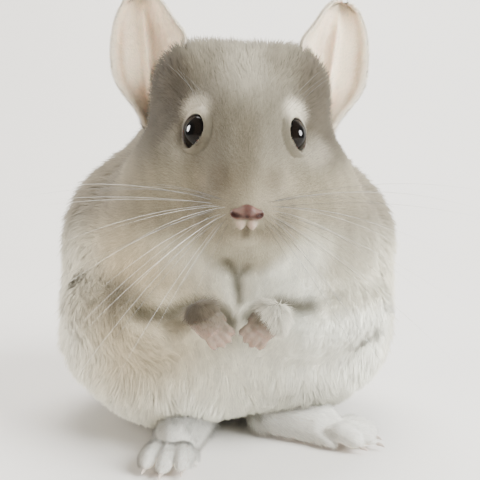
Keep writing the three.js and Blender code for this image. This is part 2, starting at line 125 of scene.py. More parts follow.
# Distance fields for the finely modelled parts of the face
def egg(points, centre, radii):
    offset = (points - np.array(centre)) / np.array(radii)
    inner = np.linalg.norm(offset, axis=-1)
    return inner * (inner - 1) / np.maximum(np.linalg.norm(offset / np.array(radii), axis=-1), 1e-6)


def rod(points, line, radius):
    nearest = np.full(len(points), 1e9)
    for start, end in zip(line[:-1], line[1:]):
        start, end = np.array(start, float), np.array(end, float)
        along = np.clip((points - start) @ (end - start) / ((end - start) @ (end - start)), 0, 1)
        nearest = np.minimum(nearest, np.linalg.norm(points - start - along[:, None] * (end - start), axis=1))
    return nearest - radius


def melt(blend, *fields):
    total = fields[0]
    for field in fields[1:]:
        near = np.maximum(blend - np.abs(total - field), 0) / blend
        total = np.minimum(total, field) - near * near * blend / 4
    return total


def carve(blend, solid, tool):
    return -melt(blend, -solid, tool)


def both(points, centre, radii):
    x, y, z = centre
    return np.minimum(egg(points, (x, y, z), radii), egg(points, (-x, y, z), radii))


def head_field(points):
    skull = melt(
        8,
        egg(points, (0, 12, 9), (34, 31, 31)),
        both(points, (18, 8, 22), (17, 18, 18)),
        egg(points, (0, -9, 6), (21.5, 25, 21)),
        both(points, (23, -2, -13), (20, 23, 22)),
        egg(points, (0, -24, -8), (14, 20, 14)),
    )
    return melt(
        5,
        skull,
        egg(points, (0, -36, -19), (8.5, 9, 8)),
        both(points, (8.5, -31, -23), (10.5, 10, 9)),
        egg(points, (0, -27, -33), (10, 9, 7)),
    )


def torso_field(points):
    eggs = (
        ((0, 0, 50), (68.5, 63, 47)),
        ((-34, -4, 37), (33, 46, 32)),
        ((31, -4, 38), (32, 46, 31)),
        ((-22, -31, 24), (23, 25, 18)),
        ((0, 24, 32), (48, 38, 31)),
        ((1, 12, 84), (54, 43, 44)),
        ((-28, -4, 80), (40, 42, 33)),
        ((29, -4, 79), (40, 41, 32)),
        ((3, -8, 119), (36, 32, 28)),
        ((-19, -40, 84), (28, 23, 19)),
        ((29, -40, 85), (28, 23, 19)),
    )
    return melt(16, *(egg(points, centre, radii) for centre, radii in eggs))


# Meshes
def add_object(name, mesh, material, replaced=()):
    piece = bpy.data.objects.new(name, mesh)
    bpy.context.scene.collection.objects.link(piece)
    mesh.materials.clear()
    mesh.materials.append(material)
    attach(piece, "root")
    if replaced:
        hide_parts(*replaced)
    return piece


def to_frame(points):
    return (np.asarray(points, float) + SHIFT) / 1000


def mesh_of(bm, name):
    """The bmesh, moved from the animal's millimetres to the frame's metres, as a smooth mesh."""
    for vert in bm.verts:
        vert.co = Vector((np.array(vert.co) + SHIFT) / 1000)
    bmesh.ops.recalc_face_normals(bm, faces=bm.faces)
    mesh = bpy.data.meshes.new(name)
    bm.to_mesh(mesh)
    bm.free()
    mesh.shade_smooth()
    return mesh


def wrapped_sheet(bm, columns, rows, place):
    """A grid whose points go to place(across, along), with both from 0 to 1, joined where edges meet."""
    made = bmesh.ops.create_grid(bm, x_segments=columns, y_segments=rows, size=0.5)["verts"]
    coordinates = np.array([vert.co for vert in made])[:, :2] + 0.5
    for vert, spot in zip(made, place(coordinates[:, 0], coordinates[:, 1])):
        vert.co = Vector(spot)
    bmesh.ops.remove_doubles(bm, verts=made, dist=1e-4)


def curve_points(line, shares):
    """Points at shares of a smooth curve through the line's points, and the directions there."""
    line = np.asarray(line, float)
    padded = np.vstack([2 * line[0] - line[1], line, 2 * line[-1] - line[-2]])
    spans = len(line) - 1
    shares = np.atleast_1d(shares)
    index = np.minimum((shares * spans).astype(int), spans - 1)
    t = (shares * spans - index)[:, None]
    a, b, c, d = (padded[index + k] for k in range(4))
    spots = 0.5 * (2 * b + (c - a) * t + (2 * a - 5 * b + 4 * c - d) * t**2 + (3 * b - a - 3 * c + d) * t**3)
    ways = 0.5 * ((c - a) + 2 * (2 * a - 5 * b + 4 * c - d) * t + 3 * (3 * b - a - 3 * c + d) * t**2)
    return spots, unit(ways)


def tube(bm, line, width, columns=16, rows=24, flat=1.0, facing=(0, 0, 1)):
    def place(across, along):
        spots, ways = curve_points(line, along)
        side = unit(np.cross(ways, np.array(facing, float)))
        over = np.cross(side, ways)
        angle = across * 2 * math.pi
        reach = width(along)[:, None]
        return spots + reach * (np.cos(angle)[:, None] * side + flat * np.sin(angle)[:, None] * over)

    wrapped_sheet(bm, columns, rows, place)


def surface_of(piece):
    """Corners, corner normals and areas of the piece's triangles, in the animal's millimetres."""
    mesh = piece.data
    mesh.calc_loop_triangles()
    corners = np.zeros(len(mesh.loop_triangles) * 3, np.int32)
    mesh.loop_triangles.foreach_get("vertices", corners)
    corners = corners.reshape(-1, 3)
    places = np.zeros(len(mesh.vertices) * 3, np.float32)
    mesh.vertices.foreach_get("co", places)
    places = places.reshape(-1, 3).astype(float) * 1000 - SHIFT
    normals = np.zeros(len(mesh.vertices) * 3, np.float32)
    mesh.vertex_normals.foreach_get("vector", normals)
    normals = normals.reshape(-1, 3).astype(float)
    spots = places[corners]
    areas = np.linalg.norm(np.cross(spots[:, 1] - spots[:, 0], spots[:, 2] - spots[:, 0]), axis=1) / 2
    return spots, normals[corners], areas


def scatter(piece, density, draw):
    """Random roots on a piece, density(points) to each square millimetre, and the normals there."""
    spots, normals, areas = surface_of(piece)
    weights = areas * density(spots.mean(1), unit(normals.mean(1)))
    count = int(weights.sum())
    chosen = draw.choice(len(weights), count, p=weights / weights.sum())
    a, b = draw.random((2, count))
    flip = a + b > 1
    a, b = np.where(flip, 1 - a, a), np.where(flip, 1 - b, b)
    shares = np.stack([1 - a - b, a, b], 1)[:, :, None]
    return (spots[chosen] * shares).sum(1), unit((normals[chosen] * shares).sum(1))


def strands(name, lines, widths, normals, tones, colours, places, flat=0.6, own=0.3, root=0.6):
    """One mesh of tapering three-sided hairs, each strung along its own line of points.

    The hairs take their tone times their colour, and root times that at the skin.
    """
    count, rings = lines.shape[0], lines.shape[1] - 1
    ways = unit(np.gradient(lines, axis=1))
    side = unit(np.cross(ways, normals[:, None, :]))
    over = np.cross(side, ways)
    angles = np.radians([90, 210, 330])
    spokes = (
        side[:, :rings, None, :] * np.cos(angles)[None, None, :, None]
        + over[:, :rings, None, :] * flat * np.sin(angles)[None, None, :, None]
    )
    ring_spots = lines[:, :rings, None, :] + spokes * widths[:, :rings, None, None] / 2
    spots = np.concatenate([ring_spots.reshape(count, rings * 3, 3), lines[:, -1:, :]], 1)
    per_hair = rings * 3 + 1
    faces = []
    for ring in range(rings - 1):
        for corner in range(3):
            a, b = ring * 3 + corner, ring * 3 + (corner + 1) % 3
            faces += [(a, b, b + 3), (a, b + 3, a + 3)]
    for corner in range(3):
        faces.append(((rings - 1) * 3 + corner, (rings - 1) * 3 + (corner + 1) % 3, rings * 3))
    faces = np.array(faces, np.int32)[:, ::-1]
    corners = (faces[None] + (np.arange(count) * per_hair)[:, None, None]).reshape(-1)

    mesh = bpy.data.meshes.new(name)
    mesh.vertices.add(count * per_hair)
    mesh.vertices.foreach_set("co", to_frame(spots).astype(np.float32).reshape(-1))
    mesh.loops.add(len(corners))
    mesh.loops.foreach_set("vertex_index", corners)
    mesh.polygons.add(len(corners) // 3)
    mesh.polygons.foreach_set("loop_start", np.arange(0, len(corners), 3, dtype=np.int32))
    mesh.update(calc_edges=True)

    height = np.concatenate([np.repeat(np.arange(rings) / rings, 3), [1.0]])
    around = np.concatenate([np.tile([0.0, 0.5, 1.0], rings), [0.5]])
    # Darker towards the root: slate undercoat and painted shade deep in the coat
    rise = smooth(0.0, 0.8, height)[None, :]
    shade = np.broadcast_to(mix(np.asarray(root, float).reshape(-1, 1), 1.0, rise), (count, per_hair))
    paint_points(mesh, (colours[:, None, :] * (shade * tones[:, None])[:, :, None]).reshape(-1, 3))

    PATCH = 0.003
    patch = np.stack([around - 0.5, height - 0.5], 1) * PATCH
    spread = (places[:, None, :] + patch[None]).reshape(-1, 2)
    mesh.uv_layers.new(name="OFBake").data.foreach_set(
        "uv", spread[corners].astype(np.float32).reshape(-1)
    )
    mesh.shade_smooth()
    spokes = np.concatenate([spokes.reshape(count, rings * 3, 3), ways[:, -1:, :] * 0], 1)
    facing = unit(normals[:, None, :] + own * spokes)
    mesh.normals_split_custom_set_from_vertices(facing.reshape(-1, 3).tolist())
    return mesh


def paint_points(mesh, colours):
    shades = np.ones((len(colours), 4), np.float32)
    shades[:, :3] = colours
    mesh.attributes.new("pelt", "FLOAT_COLOR", "POINT").data.foreach_set("color", shades.reshape(-1))


def bent_lines(roots, normals, flow, length, lift, bend, draw, points=3, sink=0.6):
    """Hairs that leave the skin at the angle lift and bend towards the flow."""
    count = len(roots)
    start = unit(normals * np.sin(lift)[:, None] + flow * np.cos(lift)[:, None])
    shares = np.linspace(0, 1, points)[None, :, None]
    reach = length[:, None, None]
    away = unit(start + 0.16 * draw.normal(size=(count, 3)))
    lines = roots[:, None, :] + reach * shares * away[:, None, :]
    lines += reach * bend * shares**2 * (flow - normals * np.sin(lift)[:, None])[:, None, :]
    return lines - normals[:, None, :] * sink * (1 - shares)


def gathered(lines, normals, spacing, pull, draw):
    """Tips drawn together towards the nearest of some leading hairs, which makes soft locks.

    The normals are turned outwards from each lock's middle, so that the lock looks round.
    """
    roots, tips = lines[:, 0], lines[:, -1]
    leaders = draw.choice(len(roots), max(1, int(len(roots) / spacing)), replace=False)
    tree = kdtree.KDTree(len(leaders))
    for place, leader in enumerate(leaders):
        tree.insert(roots[leader], place)
    tree.balance()
    nearest = leaders[[tree.find(root)[1] for root in roots]]
    shares = np.linspace(0, 1, lines.shape[1])[None, :, None]
    towards = tips[nearest] - tips
    far = np.linalg.norm(towards, axis=1, keepdims=True)
    towards *= np.minimum(1, 5 / np.maximum(far, 1e-6))
    aside = roots - roots[nearest]
    aside /= max(1e-6, np.percentile(np.linalg.norm(aside, axis=1), 90))
    rounded = unit(normals + 1.1 * pull[:, None] * aside)
    return lines + towards[:, None, :] * pull[:, None, None] * shares**1.6, rounded


# Markings: the colour of skin and coat at any place, in linear light
def linear(*parts):
    parts = np.array(parts, float) / 255
    return np.where(parts <= 0.04045, parts / 12.92, ((parts + 0.055) / 1.055) ** 2.4)


PELT = {
    "back": linear(128, 119, 101),
    "slate": linear(120, 115, 105),
    "forehead": linear(124, 117, 101),
    "temple": linear(88, 80, 67),
    "cheek": linear(154, 144, 122),
    "muzzle": linear(148, 138, 118),
    "bridge": linear(96, 86, 69),
    "brow": linear(228, 218, 196),
    "side": linear(226, 219, 196),
    "belly": linear(252, 250, 234),
    # Painted warm shade, for the side turned away from the key lamp
    "warm_shade": linear(210, 194, 162),
    # Painted shade, for the folds and creases of the coat
    "fold": linear(92, 86, 70),
    "lip": linear(192, 174, 157),
    # Painted shade, for the open mouth
    "mouth": linear(74, 64, 52),
}


def spot(points, centre, radii, soft=0.5):
    """A soft-edged patch: 1 inside the egg and 0 outside."""
    far = np.linalg.norm((points - np.array(centre)) / np.array(radii), axis=-1)
    return 1 - smooth(1 - soft, 1 + soft, far)


# Markings of the face: shade, amount, whether on both sides, and the spot in the head's frame
FACE_SPOTS = (
    ("brow", 0.75, True, (19.5, -22, 14.5), (6, 9, 5.5), 0.5),
    ("brow", 0.28, False, (25.5, -20, 0), (6, 8, 6), 0.7),
    ("brow", 0.15, False, (-24, -20, 2), (6, 8, 7), 0.5),
    ("muzzle", 0.8, True, (9, -36, -19), (11, 12, 11), 0.5),
    ("bridge", 0.5, True, (0, -32, -3), (4.5, 14, 15), 0.6),
    ("bridge", 0.5, True, (9, -36, -9), (5, 9, 4.5), 0.6),
    ("bridge", 0.5, True, (15, -32, -20), (5, 9, 6), 0.6),
    ("bridge", 0.12, False, (-27, -28, -26), (10, 14, 7), 0.7),
    ("bridge", 0.13, False, (-9, -36, -10), (8, 10, 7), 0.9),
)

# Painted shade on the body's front, under the ruff by the elbows and between thigh and foot: amount and spot
BODY_PAINTED_SHADE = (
    (0.5, (-33, -42, 61), (9, 26, 5), 0.7),
    (0.95, (-39, -40, 60), (9, 24, 9), 0.7),
    (0.36, (41, -38, 66), (10, 30, 9), 0.7),
    (0.45, (34, -40, 15), (18, 36, 9), 0.8),
)


def pelt_at(points, normals):
    """The markings: grey above, darker temples, pale cheeks, brows and belly; painted shade in the folds, by the
    elbows and in the mouth, a warm painted shade on the animal's right front, and painted light on the outer flanks.
    """
    local = to_head(points)
    mirrored = local * np.array([1, 1, 1.0])
    mirrored[:, 0] = np.abs(mirrored[:, 0])
    x, y, z = points.T
    colour = np.tile(PELT["side"], (len(points), 1))

    def paint(name, amount):
        nonlocal colour
        colour = colour + (PELT[name] - colour) * amount[:, None]

    beside = np.abs(x - 5)
    front = smooth(-6, -32, y)
    paint("back", smooth(10, 48, y) * smooth(20, 66, z))
    paint("back", 0.94 * smooth(60, 84, z + 0.3 * y))
    paint("back", 0.6 * smooth(64, 80, z) * smooth(24, 42, beside))
    paint("slate", 0.8 * smooth(0, 30, y) * smooth(20, 66, z))
    # Painted light: the outer flanks paler at their edges, as if lit there from behind
    paint("side", 0.8 * smooth(40, 56, beside) * smooth(92, 66, z) * smooth(30, -6, y))
    paint("belly", front * np.maximum(smooth(62, 54, z), smooth(88, 76, z) * smooth(36, 24, beside)))
    paint("belly", smooth(34, 12, z))
    # Painted warm shade on the animal's right front, the side turned away from the key lamp
    paint("warm_shade", 0.92 * front * spot(points, (-34, -50, 56), (34, 40, 34)))
    # Painted light on the animal's right flank, where the body turns away from the lamps
    paint("belly", 0.6 * spot(points, (-60, -16, 55), (18, 40, 26), 0.7))
    paint("side", 0.5 * front * spot(points, (4, -50, 40), (16, 40, 26)))
    # Painted shade in the creases of the front and by the feet
    for amount, centre, radii, soft in BODY_PAINTED_SHADE:
        paint("fold", amount * spot(points, centre, radii, soft))
    is_head = smooth(4, -4, head_field(local) - 5)
    paint("cheek", is_head * smooth(0, -14, local[:, 2]))
    paint("forehead", is_head * smooth(-12, 6, local[:, 2]))
    paint("temple", 0.95 * is_head * spot(mirrored, (29, -4, 15), (11, 20, 24), 0.4))
    paint("temple", 0.6 * is_head * spot(local, (29, -4, 15), (12, 20, 24), 0.4))
    paint("side", 0.2 * is_head * spot(mirrored, (0, -10, 27), (8, 20, 16), 0.6))
    for shade, amount, both_sides, centre, radii, soft in FACE_SPOTS:
        paint(shade, amount * spot(mirrored if both_sides else local, centre, radii, soft))
    paint("side", 0.4 * is_head * spot(local, (4, -26, -38), (22, 16, 9), 0.5))
    paint("lip", 0.75 * smooth(0.8, -0.4, lip_field(local)) * (local[:, 1] < -30))
    # Painted shade in the open mouth below the lips
    paint("mouth", 0.72 * smooth(1.0, -1.4, egg(local, (0.3, -41, -27.6), (1.6, 8, 3.0))))
    # Painted shade along the folds under the ruff and in the notch of the chest
    paint("fold", 0.85 * smooth(5.5, 0.5, fold_field(points)))
    streak = np.sin(0.9 * x + 1.8 * np.sin(0.12 * z + 0.1 * y)) * np.sin(0.21 * z + 0.27 * x + 0.13 * y)
    return colour * (1 + 0.07 * streak)[:, None]


# The folds of the coat's front, as x and z: under the ruff on each side, and the notch on the chest
FOLDS = (
    [(-32, 59), (-22, 58.5), (-12, 60.5), (-7.5, 60.5), (-3, 58), (1.5, 54)],
    [(31, 61), (26, 60.5), (20, 60.5), (13, 60), (8, 56)],
    [(0.5, 77), (3.8, 71.5), (4.8, 62)],
    [(7.5, 75), (4.2, 71)],
)


def fold_field(points):
    """Distance sideways from the nearest fold; far away behind the front of the body."""
    flat = points * np.array([1, 0, 1.0])
    ways = [0.6 * place + rod(flat, [(x, 0, z) for x, z in line], 0) for place, line in enumerate(FOLDS)]
    return np.min(ways, axis=0) + np.maximum(0, points[:, 1] + 26)


def coat_length(points):
    """Hair length: shortest on the nose and round the eyes, longest on the back and belly."""
    local = to_head(points)
    from_nose = np.linalg.norm(local - NOSE, axis=1)
    length = np.interp(from_nose, [0, 8, 20, 40, 62, 88, 115], [1.0, 1.4, 2.0, 2.6, 3.6, 7.0, 11.0])
    for side in (-1, 1):
        eye = np.linalg.norm(points - EYES[side], axis=1)
        length = np.minimum(length, np.interp(eye, [8, 12, 18, 30], [1.4, 2.2, 4.0, 12]))
        hand = np.linalg.norm(points - node_middle("hand_" + ("left" if side > 0 else "right")), axis=1)
        length = np.minimum(length, np.interp(hand, [8, 14, 26, 40], [4.0, 5.5, 8.0, 12]))
    return np.minimum(length, np.interp(points[:, 2], [0, 8, 24, 45], [2.5, 3.5, 6.0, 12.0]))


def coat_lift(points):
    """The angle at which the hair leaves the skin: nearly flat on the face, fuller on the body."""
    from_nose = np.linalg.norm(to_head(points) - NOSE, axis=1)
    return np.radians(np.interp(from_nose, [0, 20, 45, 80], [22, 22, 24, 33]))


def muzzle_zone(local):
    """The region of nose and mouth, modelled finely in a piece of its own: below 0 inside it."""
    return egg(local, (0, -38, -24.5), (10, 12, 11))


def coat_depth(points):
    fold = 4.0 * smooth(7, 0, fold_field(points)) + 2.6 * smooth(-1.6, -4.2, muzzle_zone(to_head(points)))
    return 0.66 * coat_length(points) * np.sin(coat_lift(points)) + fold


def root_shade(points):
    """How dark the hair is at its root: partly the slate undercoat of the grey coat and partly painted shade deep in
    the coat; nearly white on the belly.
    """
    pale = smooth(-8, -30, points[:, 1]) * smooth(96, 66, points[:, 2])
    return bpy.context.scene.chinchilla_coat.root_shade + 0.2 * np.maximum(pale, smooth(30, 10, points[:, 2]))


def coat_flow(points, normals):
    """The lie of the coat: back from the nose, down the body, along the arms to the paws."""
    local = to_head(points)
    from_nose = on_head(local) - on_head(NOSE + np.array([0, 0, 2.0]))
    head_share = smooth(118, 60, np.linalg.norm(from_nose, axis=1))[:, None] * smooth(70, 92, points[:, 2])[:, None]
    down = np.tile(np.array([0.0, 0.12, -1.0]), (len(points), 1))
    down[:, 0] = points[:, 0] * 0.003
    lie = mix(down, unit(from_nose + np.array([0, 0, -4.0])), head_share)
    for side in (-1, 1):
        line = arm_line(side)
        near = rod(points, line, 17)
        share = smooth(3, -3, near) * smooth(-20, -34, points[:, 1])
        lie = mix(lie, unit(0.6 * (line[-1] - line[1]) + np.array([0, 0, -34.0])), share[:, None])
    x, y, z = points.T
    swirl = 0.28 * np.sin(0.19 * x + 1.4 * np.sin(0.11 * z + 0.05 * y)) + 0.2 * np.sin(0.31 * z - 0.23 * x + 0.2 * y)
    calm = mix(1, 0.3, smooth(60, 30, np.linalg.norm(local - NOSE, axis=1)))
    lie = lie + np.cross(normals, lie) * (swirl * calm)[:, None]
    lie = lie - normals * (lie * normals).sum(1, keepdims=True)
    spare = np.cross(normals, [1.0, 0, 0]) * 0.15
    return unit(lie + spare * (np.linalg.norm(lie, axis=1, keepdims=True) < 0.2))


EYES = {side: node_middle("eye_" + name) for name, side in SIDES.items()}


# Materials
def principled(name, **values):
    material = bpy.data.materials.new(name)
    material.use_nodes = True
    shader = material.node_tree.nodes["Principled BSDF"]
    for socket, value in values.items():
        shader.inputs[socket.replace("_", " ")].default_value = value
    return material, material.node_tree.nodes, material.node_tree.links, shader


def group(name, inputs, outputs):
    tree = bpy.data.node_groups.new(name, "ShaderNodeTree")
    for label, kind, value in inputs:
        socket = tree.interface.new_socket(label, in_out="INPUT", socket_type=kind)
        if value is not None:
            socket.default_value = value
    for label, kind in outputs:
        tree.interface.new_socket(label, in_out="OUTPUT", socket_type=kind)
    return tree, tree.nodes.new("NodeGroupInput"), tree.nodes.new("NodeGroupOutput")


def math_node(nodes, links, kind, a, b):
    node = nodes.new("ShaderNodeMath")
    node.operation = kind
    for slot, value in enumerate((a, b)):
        if isinstance(value, (int, float)):
            node.inputs[slot].default_value = value
        else:
            links.new(value, node.inputs[slot])
    return node.outputs[0]


def mottling_group():
    """A colour varied by soft patches and fine flecks of the given sizes and strength."""
    if "Mottling" in bpy.data.node_groups:
        return bpy.data.node_groups["Mottling"]
    tree, inside, outside = group(
        "Mottling",
        [
            ("Color", "NodeSocketColor", (0.8, 0.8, 0.8, 1)),
            ("Patch Scale", "NodeSocketFloat", 60.0),
            ("Fleck Scale", "NodeSocketFloat", 900.0),
            ("Strength", "NodeSocketFloat", 0.2),
        ],
        [("Color", "NodeSocketColor"), ("Height", "NodeSocketFloat")],
    )
    nodes, links = tree.nodes, tree.links
    where = nodes.new("ShaderNodeTexCoord")
    patch, fleck = nodes.new("ShaderNodeTexNoise"), nodes.new("ShaderNodeTexNoise")
    patch.inputs["Detail"].default_value = 3
    fleck.inputs["Detail"].default_value = 2
    for noise_node, scale in ((patch, "Patch Scale"), (fleck, "Fleck Scale")):
        links.new(where.outputs["Object"], noise_node.inputs["Vector"])
        links.new(inside.outputs[scale], noise_node.inputs["Scale"])
    both_noises = math_node(nodes, links, "ADD", patch.outputs["Fac"], fleck.outputs["Fac"])
    centred = math_node(nodes, links, "SUBTRACT", both_noises, 1.0)
    swing = math_node(nodes, links, "MULTIPLY", centred, inside.outputs["Strength"])
    factor = math_node(nodes, links, "ADD", swing, 1.0)
    scaled = nodes.new("ShaderNodeVectorMath")
    scaled.operation = "SCALE"
    links.new(inside.outputs["Color"], scaled.inputs[0])
    links.new(factor, scaled.inputs["Scale"])
    links.new(scaled.outputs[0], outside.inputs["Color"])
    links.new(fleck.outputs["Fac"], outside.inputs["Height"])
    return tree


def mottled(nodes, links, colour, patch, fleck, strength):
    node = nodes.new("ShaderNodeGroup")
    node.node_tree = mottling_group()
    node.inputs["Patch Scale"].default_value = patch
    node.inputs["Fleck Scale"].default_value = fleck
    node.inputs["Strength"].default_value = strength
    if isinstance(colour, tuple):
        node.inputs["Color"].default_value = colour
    else:
        links.new(colour, node.inputs["Color"])
    return node


def bump(nodes, links, height, shader, distance, strength):
    node = nodes.new("ShaderNodeBump")
    node.inputs["Distance"].default_value = distance
    node.inputs["Strength"].default_value = strength
    links.new(height, node.inputs["Height"])
    links.new(node.outputs["Normal"], shader.inputs["Normal"])


def attribute(nodes, name, output="Fac"):
    node = nodes.new("ShaderNodeAttribute")
    node.attribute_name = name
    return node.outputs[output]


def hair_material():
    """Fine matt hair in the coat's markings, with soft patches of tone."""
    material, nodes, links, shader = principled(
        "plush_hair", Roughness=0.8, Specular_IOR_Level=0.1, Sheen_Weight=0.08, Sheen_Roughness=0.5
    )
    soft = mottled(nodes, links, attribute(nodes, "pelt", "Color"), 55.0, 700.0, 0.2)
    links.new(soft.outputs["Color"], shader.inputs["Base Color"])
    return material


def skin_material():
    """Undercoat that shows between the hairs: the coat's own markings, matt, darkened like the hair's roots, partly
    as slate undercoat and partly as painted shade.
    """
    material, nodes, links, shader = principled("undercoat", Roughness=0.9, Specular_IOR_Level=0.1)
    soft = mottled(nodes, links, attribute(nodes, "pelt", "Color"), 80.0, 1400.0, 0.3)
    links.new(soft.outputs["Color"], shader.inputs["Base Color"])
    bump(nodes, links, soft.outputs["Height"], shader, 0.0006, 0.6)
    return material


def bare_skin_material(name, roughness=0.5, specular=0.15):
    """Thin bare skin coloured by its own attribute, with fine creases."""
    material, nodes, links, shader = principled(
        name, Roughness=roughness, Specular_IOR_Level=specular, Subsurface_Weight=0.25, Subsurface_Scale=0.002
    )
    soft = mottled(nodes, links, attribute(nodes, "pelt", "Color"), 140.0, 1800.0, 0.22)
    links.new(soft.outputs["Color"], shader.inputs["Base Color"])
    bump(nodes, links, soft.outputs["Height"], shader, 0.0003, 0.5)
    return material


def paint_vertices(mesh, colour_of):
    places = np.zeros(len(mesh.vertices) * 3, np.float32)
    mesh.vertices.foreach_get("co", places)
    places = places.reshape(-1, 3).astype(float) * 1000 - SHIFT
    normals = np.zeros(len(mesh.vertices) * 3, np.float32)
    mesh.vertex_normals.foreach_get("vector", normals)
    paint_points(mesh, colour_of(places, normals.reshape(-1, 3).astype(float)))


# Settings
class ChinchillaCoat(bpy.types.PropertyGroup):
    """Sizes and shades of the coat"""

    body_density: FloatProperty(
        name="Body Density", description="Tufts on each square millimetre of the body", default=2.3, min=0.1
    )
    face_density: FloatProperty(
        name="Face Density", description="Tufts on each square millimetre of the face", default=9.5, min=0.1
    )
    body_width: FloatProperty(
        name="Body Tuft Width", description="Width of a body tuft at its root, millimetres", default=0.47, min=0.05
    )
    face_width: FloatProperty(
        name="Face Tuft Width", description="Width of a face tuft at its root, millimetres", default=0.23, min=0.05
    )
    root_shade: FloatProperty(
        name="Root Shade", description="How dark the hair is at its root", default=0.66, min=0.0, max=1.0
    )
    seed: IntProperty(name="Seed", description="Start of the random draw", default=7, min=0)


class ChinchillaFace(bpy.types.PropertyGroup):
    """Colours and counts of the face"""

    nose_colour: FloatVectorProperty(
        name="Nose", description="Colour of the bare nose", default=(0.125, 0.062, 0.054), size=3, subtype="COLOR"
    )
    lip_colour: FloatVectorProperty(
        name="Lip", description="Colour of the upper lip", default=(0.4, 0.29, 0.235), size=3, subtype="COLOR"
    )
    ear_colour: FloatVectorProperty(
        name="Ear", description="Colour of the ear's inner skin", default=(0.95, 0.76, 0.56), size=3, subtype="COLOR"
    )
    whisker_rows: IntProperty(name="Whisker Rows", description="Rows of whiskers on each pad", default=5, min=1)


class ChinchillaStage(bpy.types.PropertyGroup):
    """Floor, lamps and camera"""

    floor_colour: FloatVectorProperty(
        name="Floor", description="Colour of the plain floor", default=(0.74, 0.72, 0.69), size=3, subtype="COLOR"
    )
    camera_distance: FloatProperty(
        name="Camera Distance", description="From the camera to its target", default=0.45, min=0.1, unit="LENGTH"
    )
    camera_height: FloatProperty(
        name="Camera Elevation",
        description="Angle of the camera above level",
        default=math.radians(9),
        unit="ROTATION",
    )
    key_power: FloatProperty(name="Key Lamp", description="Power of the main lamp", default=48.0, min=0, unit="POWER")


# Pieces
def voxel_copy(names, voxel, grow, bare=""):
    """One closed mesh round copies of CAD nodes in the frame's metres; the bare one loses its whiskers."""
    bm = bmesh.new()
    for name in names:
        part = bmesh.new()
        part.from_mesh(frame["nodes"][name].data)
        bmesh.ops.remove_doubles(part, verts=part.verts, dist=1e-6)
        if name == bare:
            places = np.array([vert.co for vert in part.verts]) * 1000 - SHIFT
            local = to_head(places)
            far = np.minimum(head_field(local), torso_field(places)) > 3.6
            far &= egg(local, NOSE + np.array([0, 2, -2]), (8.5, 8, 10)) > 0
            bmesh.ops.delete(part, geom=[v for v, out in zip(part.verts, far) if out], context="VERTS")
            bmesh.ops.holes_fill(part, edges=[e for e in part.edges if e.is_boundary])
        part.normal_update()
        for vert in part.verts:
            vert.co += vert.normal * grow / 1000
        mesh = bpy.data.meshes.new("part")
        part.to_mesh(mesh)
        part.free()
        bm.from_mesh(mesh)
        bpy.data.meshes.remove(mesh)
    mesh = bpy.data.meshes.new("copy")
    bm.to_mesh(mesh)
    bm.free()
    return remeshed(mesh, voxel)


def remeshed(mesh, voxel, rounds=0):
    holder = bpy.data.objects.new("holder", mesh)
    bpy.context.scene.collection.objects.link(holder)
    remesh = holder.modifiers.new("Remesh", "REMESH")
    remesh.mode = "VOXEL"
    remesh.voxel_size = voxel / 1000
    if rounds:
        ease = holder.modifiers.new("Smooth", "SMOOTH")
        ease.iterations = rounds
        ease.factor = 0.5
    result = bpy.data.meshes.new_from_object(holder.evaluated_get(bpy.context.evaluated_depsgraph_get()))
    bpy.data.objects.remove(holder)
    result.shade_smooth()
    return result


def inset(mesh, depth_of):
    """Moves each point in along its normal by a depth in millimetres that depends on its place."""
    count = len(mesh.vertices)
    places, normals = np.zeros(count * 3, np.float32), np.zeros(count * 3, np.float32)
    mesh.vertices.foreach_get("co", places)
    mesh.vertex_normals.foreach_get("vector", normals)
    places, normals = places.reshape(-1, 3), normals.reshape(-1, 3)
    depth = depth_of(places.astype(float) * 1000 - SHIFT)
    places = places - normals * depth[:, None] / 1000
    mesh.vertices.foreach_set("co", places.astype(np.float32).reshape(-1))
    mesh.update()


def largest_part(mesh):
    """Keeps the mesh's largest connected surface."""
    bm = bmesh.new()
    bm.from_mesh(mesh)
    bm.verts.ensure_lookup_table()
    left, best = set(bm.verts), []
    while left:
        seed = left.pop()
        found, edge = [seed], [seed]
        while edge:
            for link in edge.pop().link_edges:
                for vert in link.verts:
                    if vert in left:
                        left.remove(vert)
                        found.append(vert)
                        edge.append(vert)
        best = found if len(found) > len(best) else best
    keep = set(best)
    bmesh.ops.delete(bm, geom=[v for v in bm.verts if v not in keep], context="VERTS")
    bm.to_mesh(mesh)
    bm.free()


class CHINCHILLA_OT_skin(bpy.types.Operator):
    """Build one skin under the coat of the head, body, thighs and arms"""

    bl_idname = "chinchilla.skin"
    bl_label = "Skin"

    def execute(self, context):
        voxel = 1.6
        mesh = voxel_copy(FLESH, voxel, 0.25, bare="head")
        mesh = remeshed(mesh, voxel, 6)
        STEPS = 3
        for _ in range(STEPS):
            inset(mesh, lambda places: coat_depth(places) / STEPS)
            mesh = remeshed(mesh, voxel, 3)
        largest_part(mesh)
        mesh.shade_smooth()
        mesh.name = "skin"
        # The skin darkened like the hair's roots: slate undercoat and painted shade
        paint_vertices(mesh, lambda points, normals: pelt_at(points, normals) * root_shade(points)[:, None])
        add_object("skin", mesh, skin_material(), FLESH)
        return {"FINISHED"}


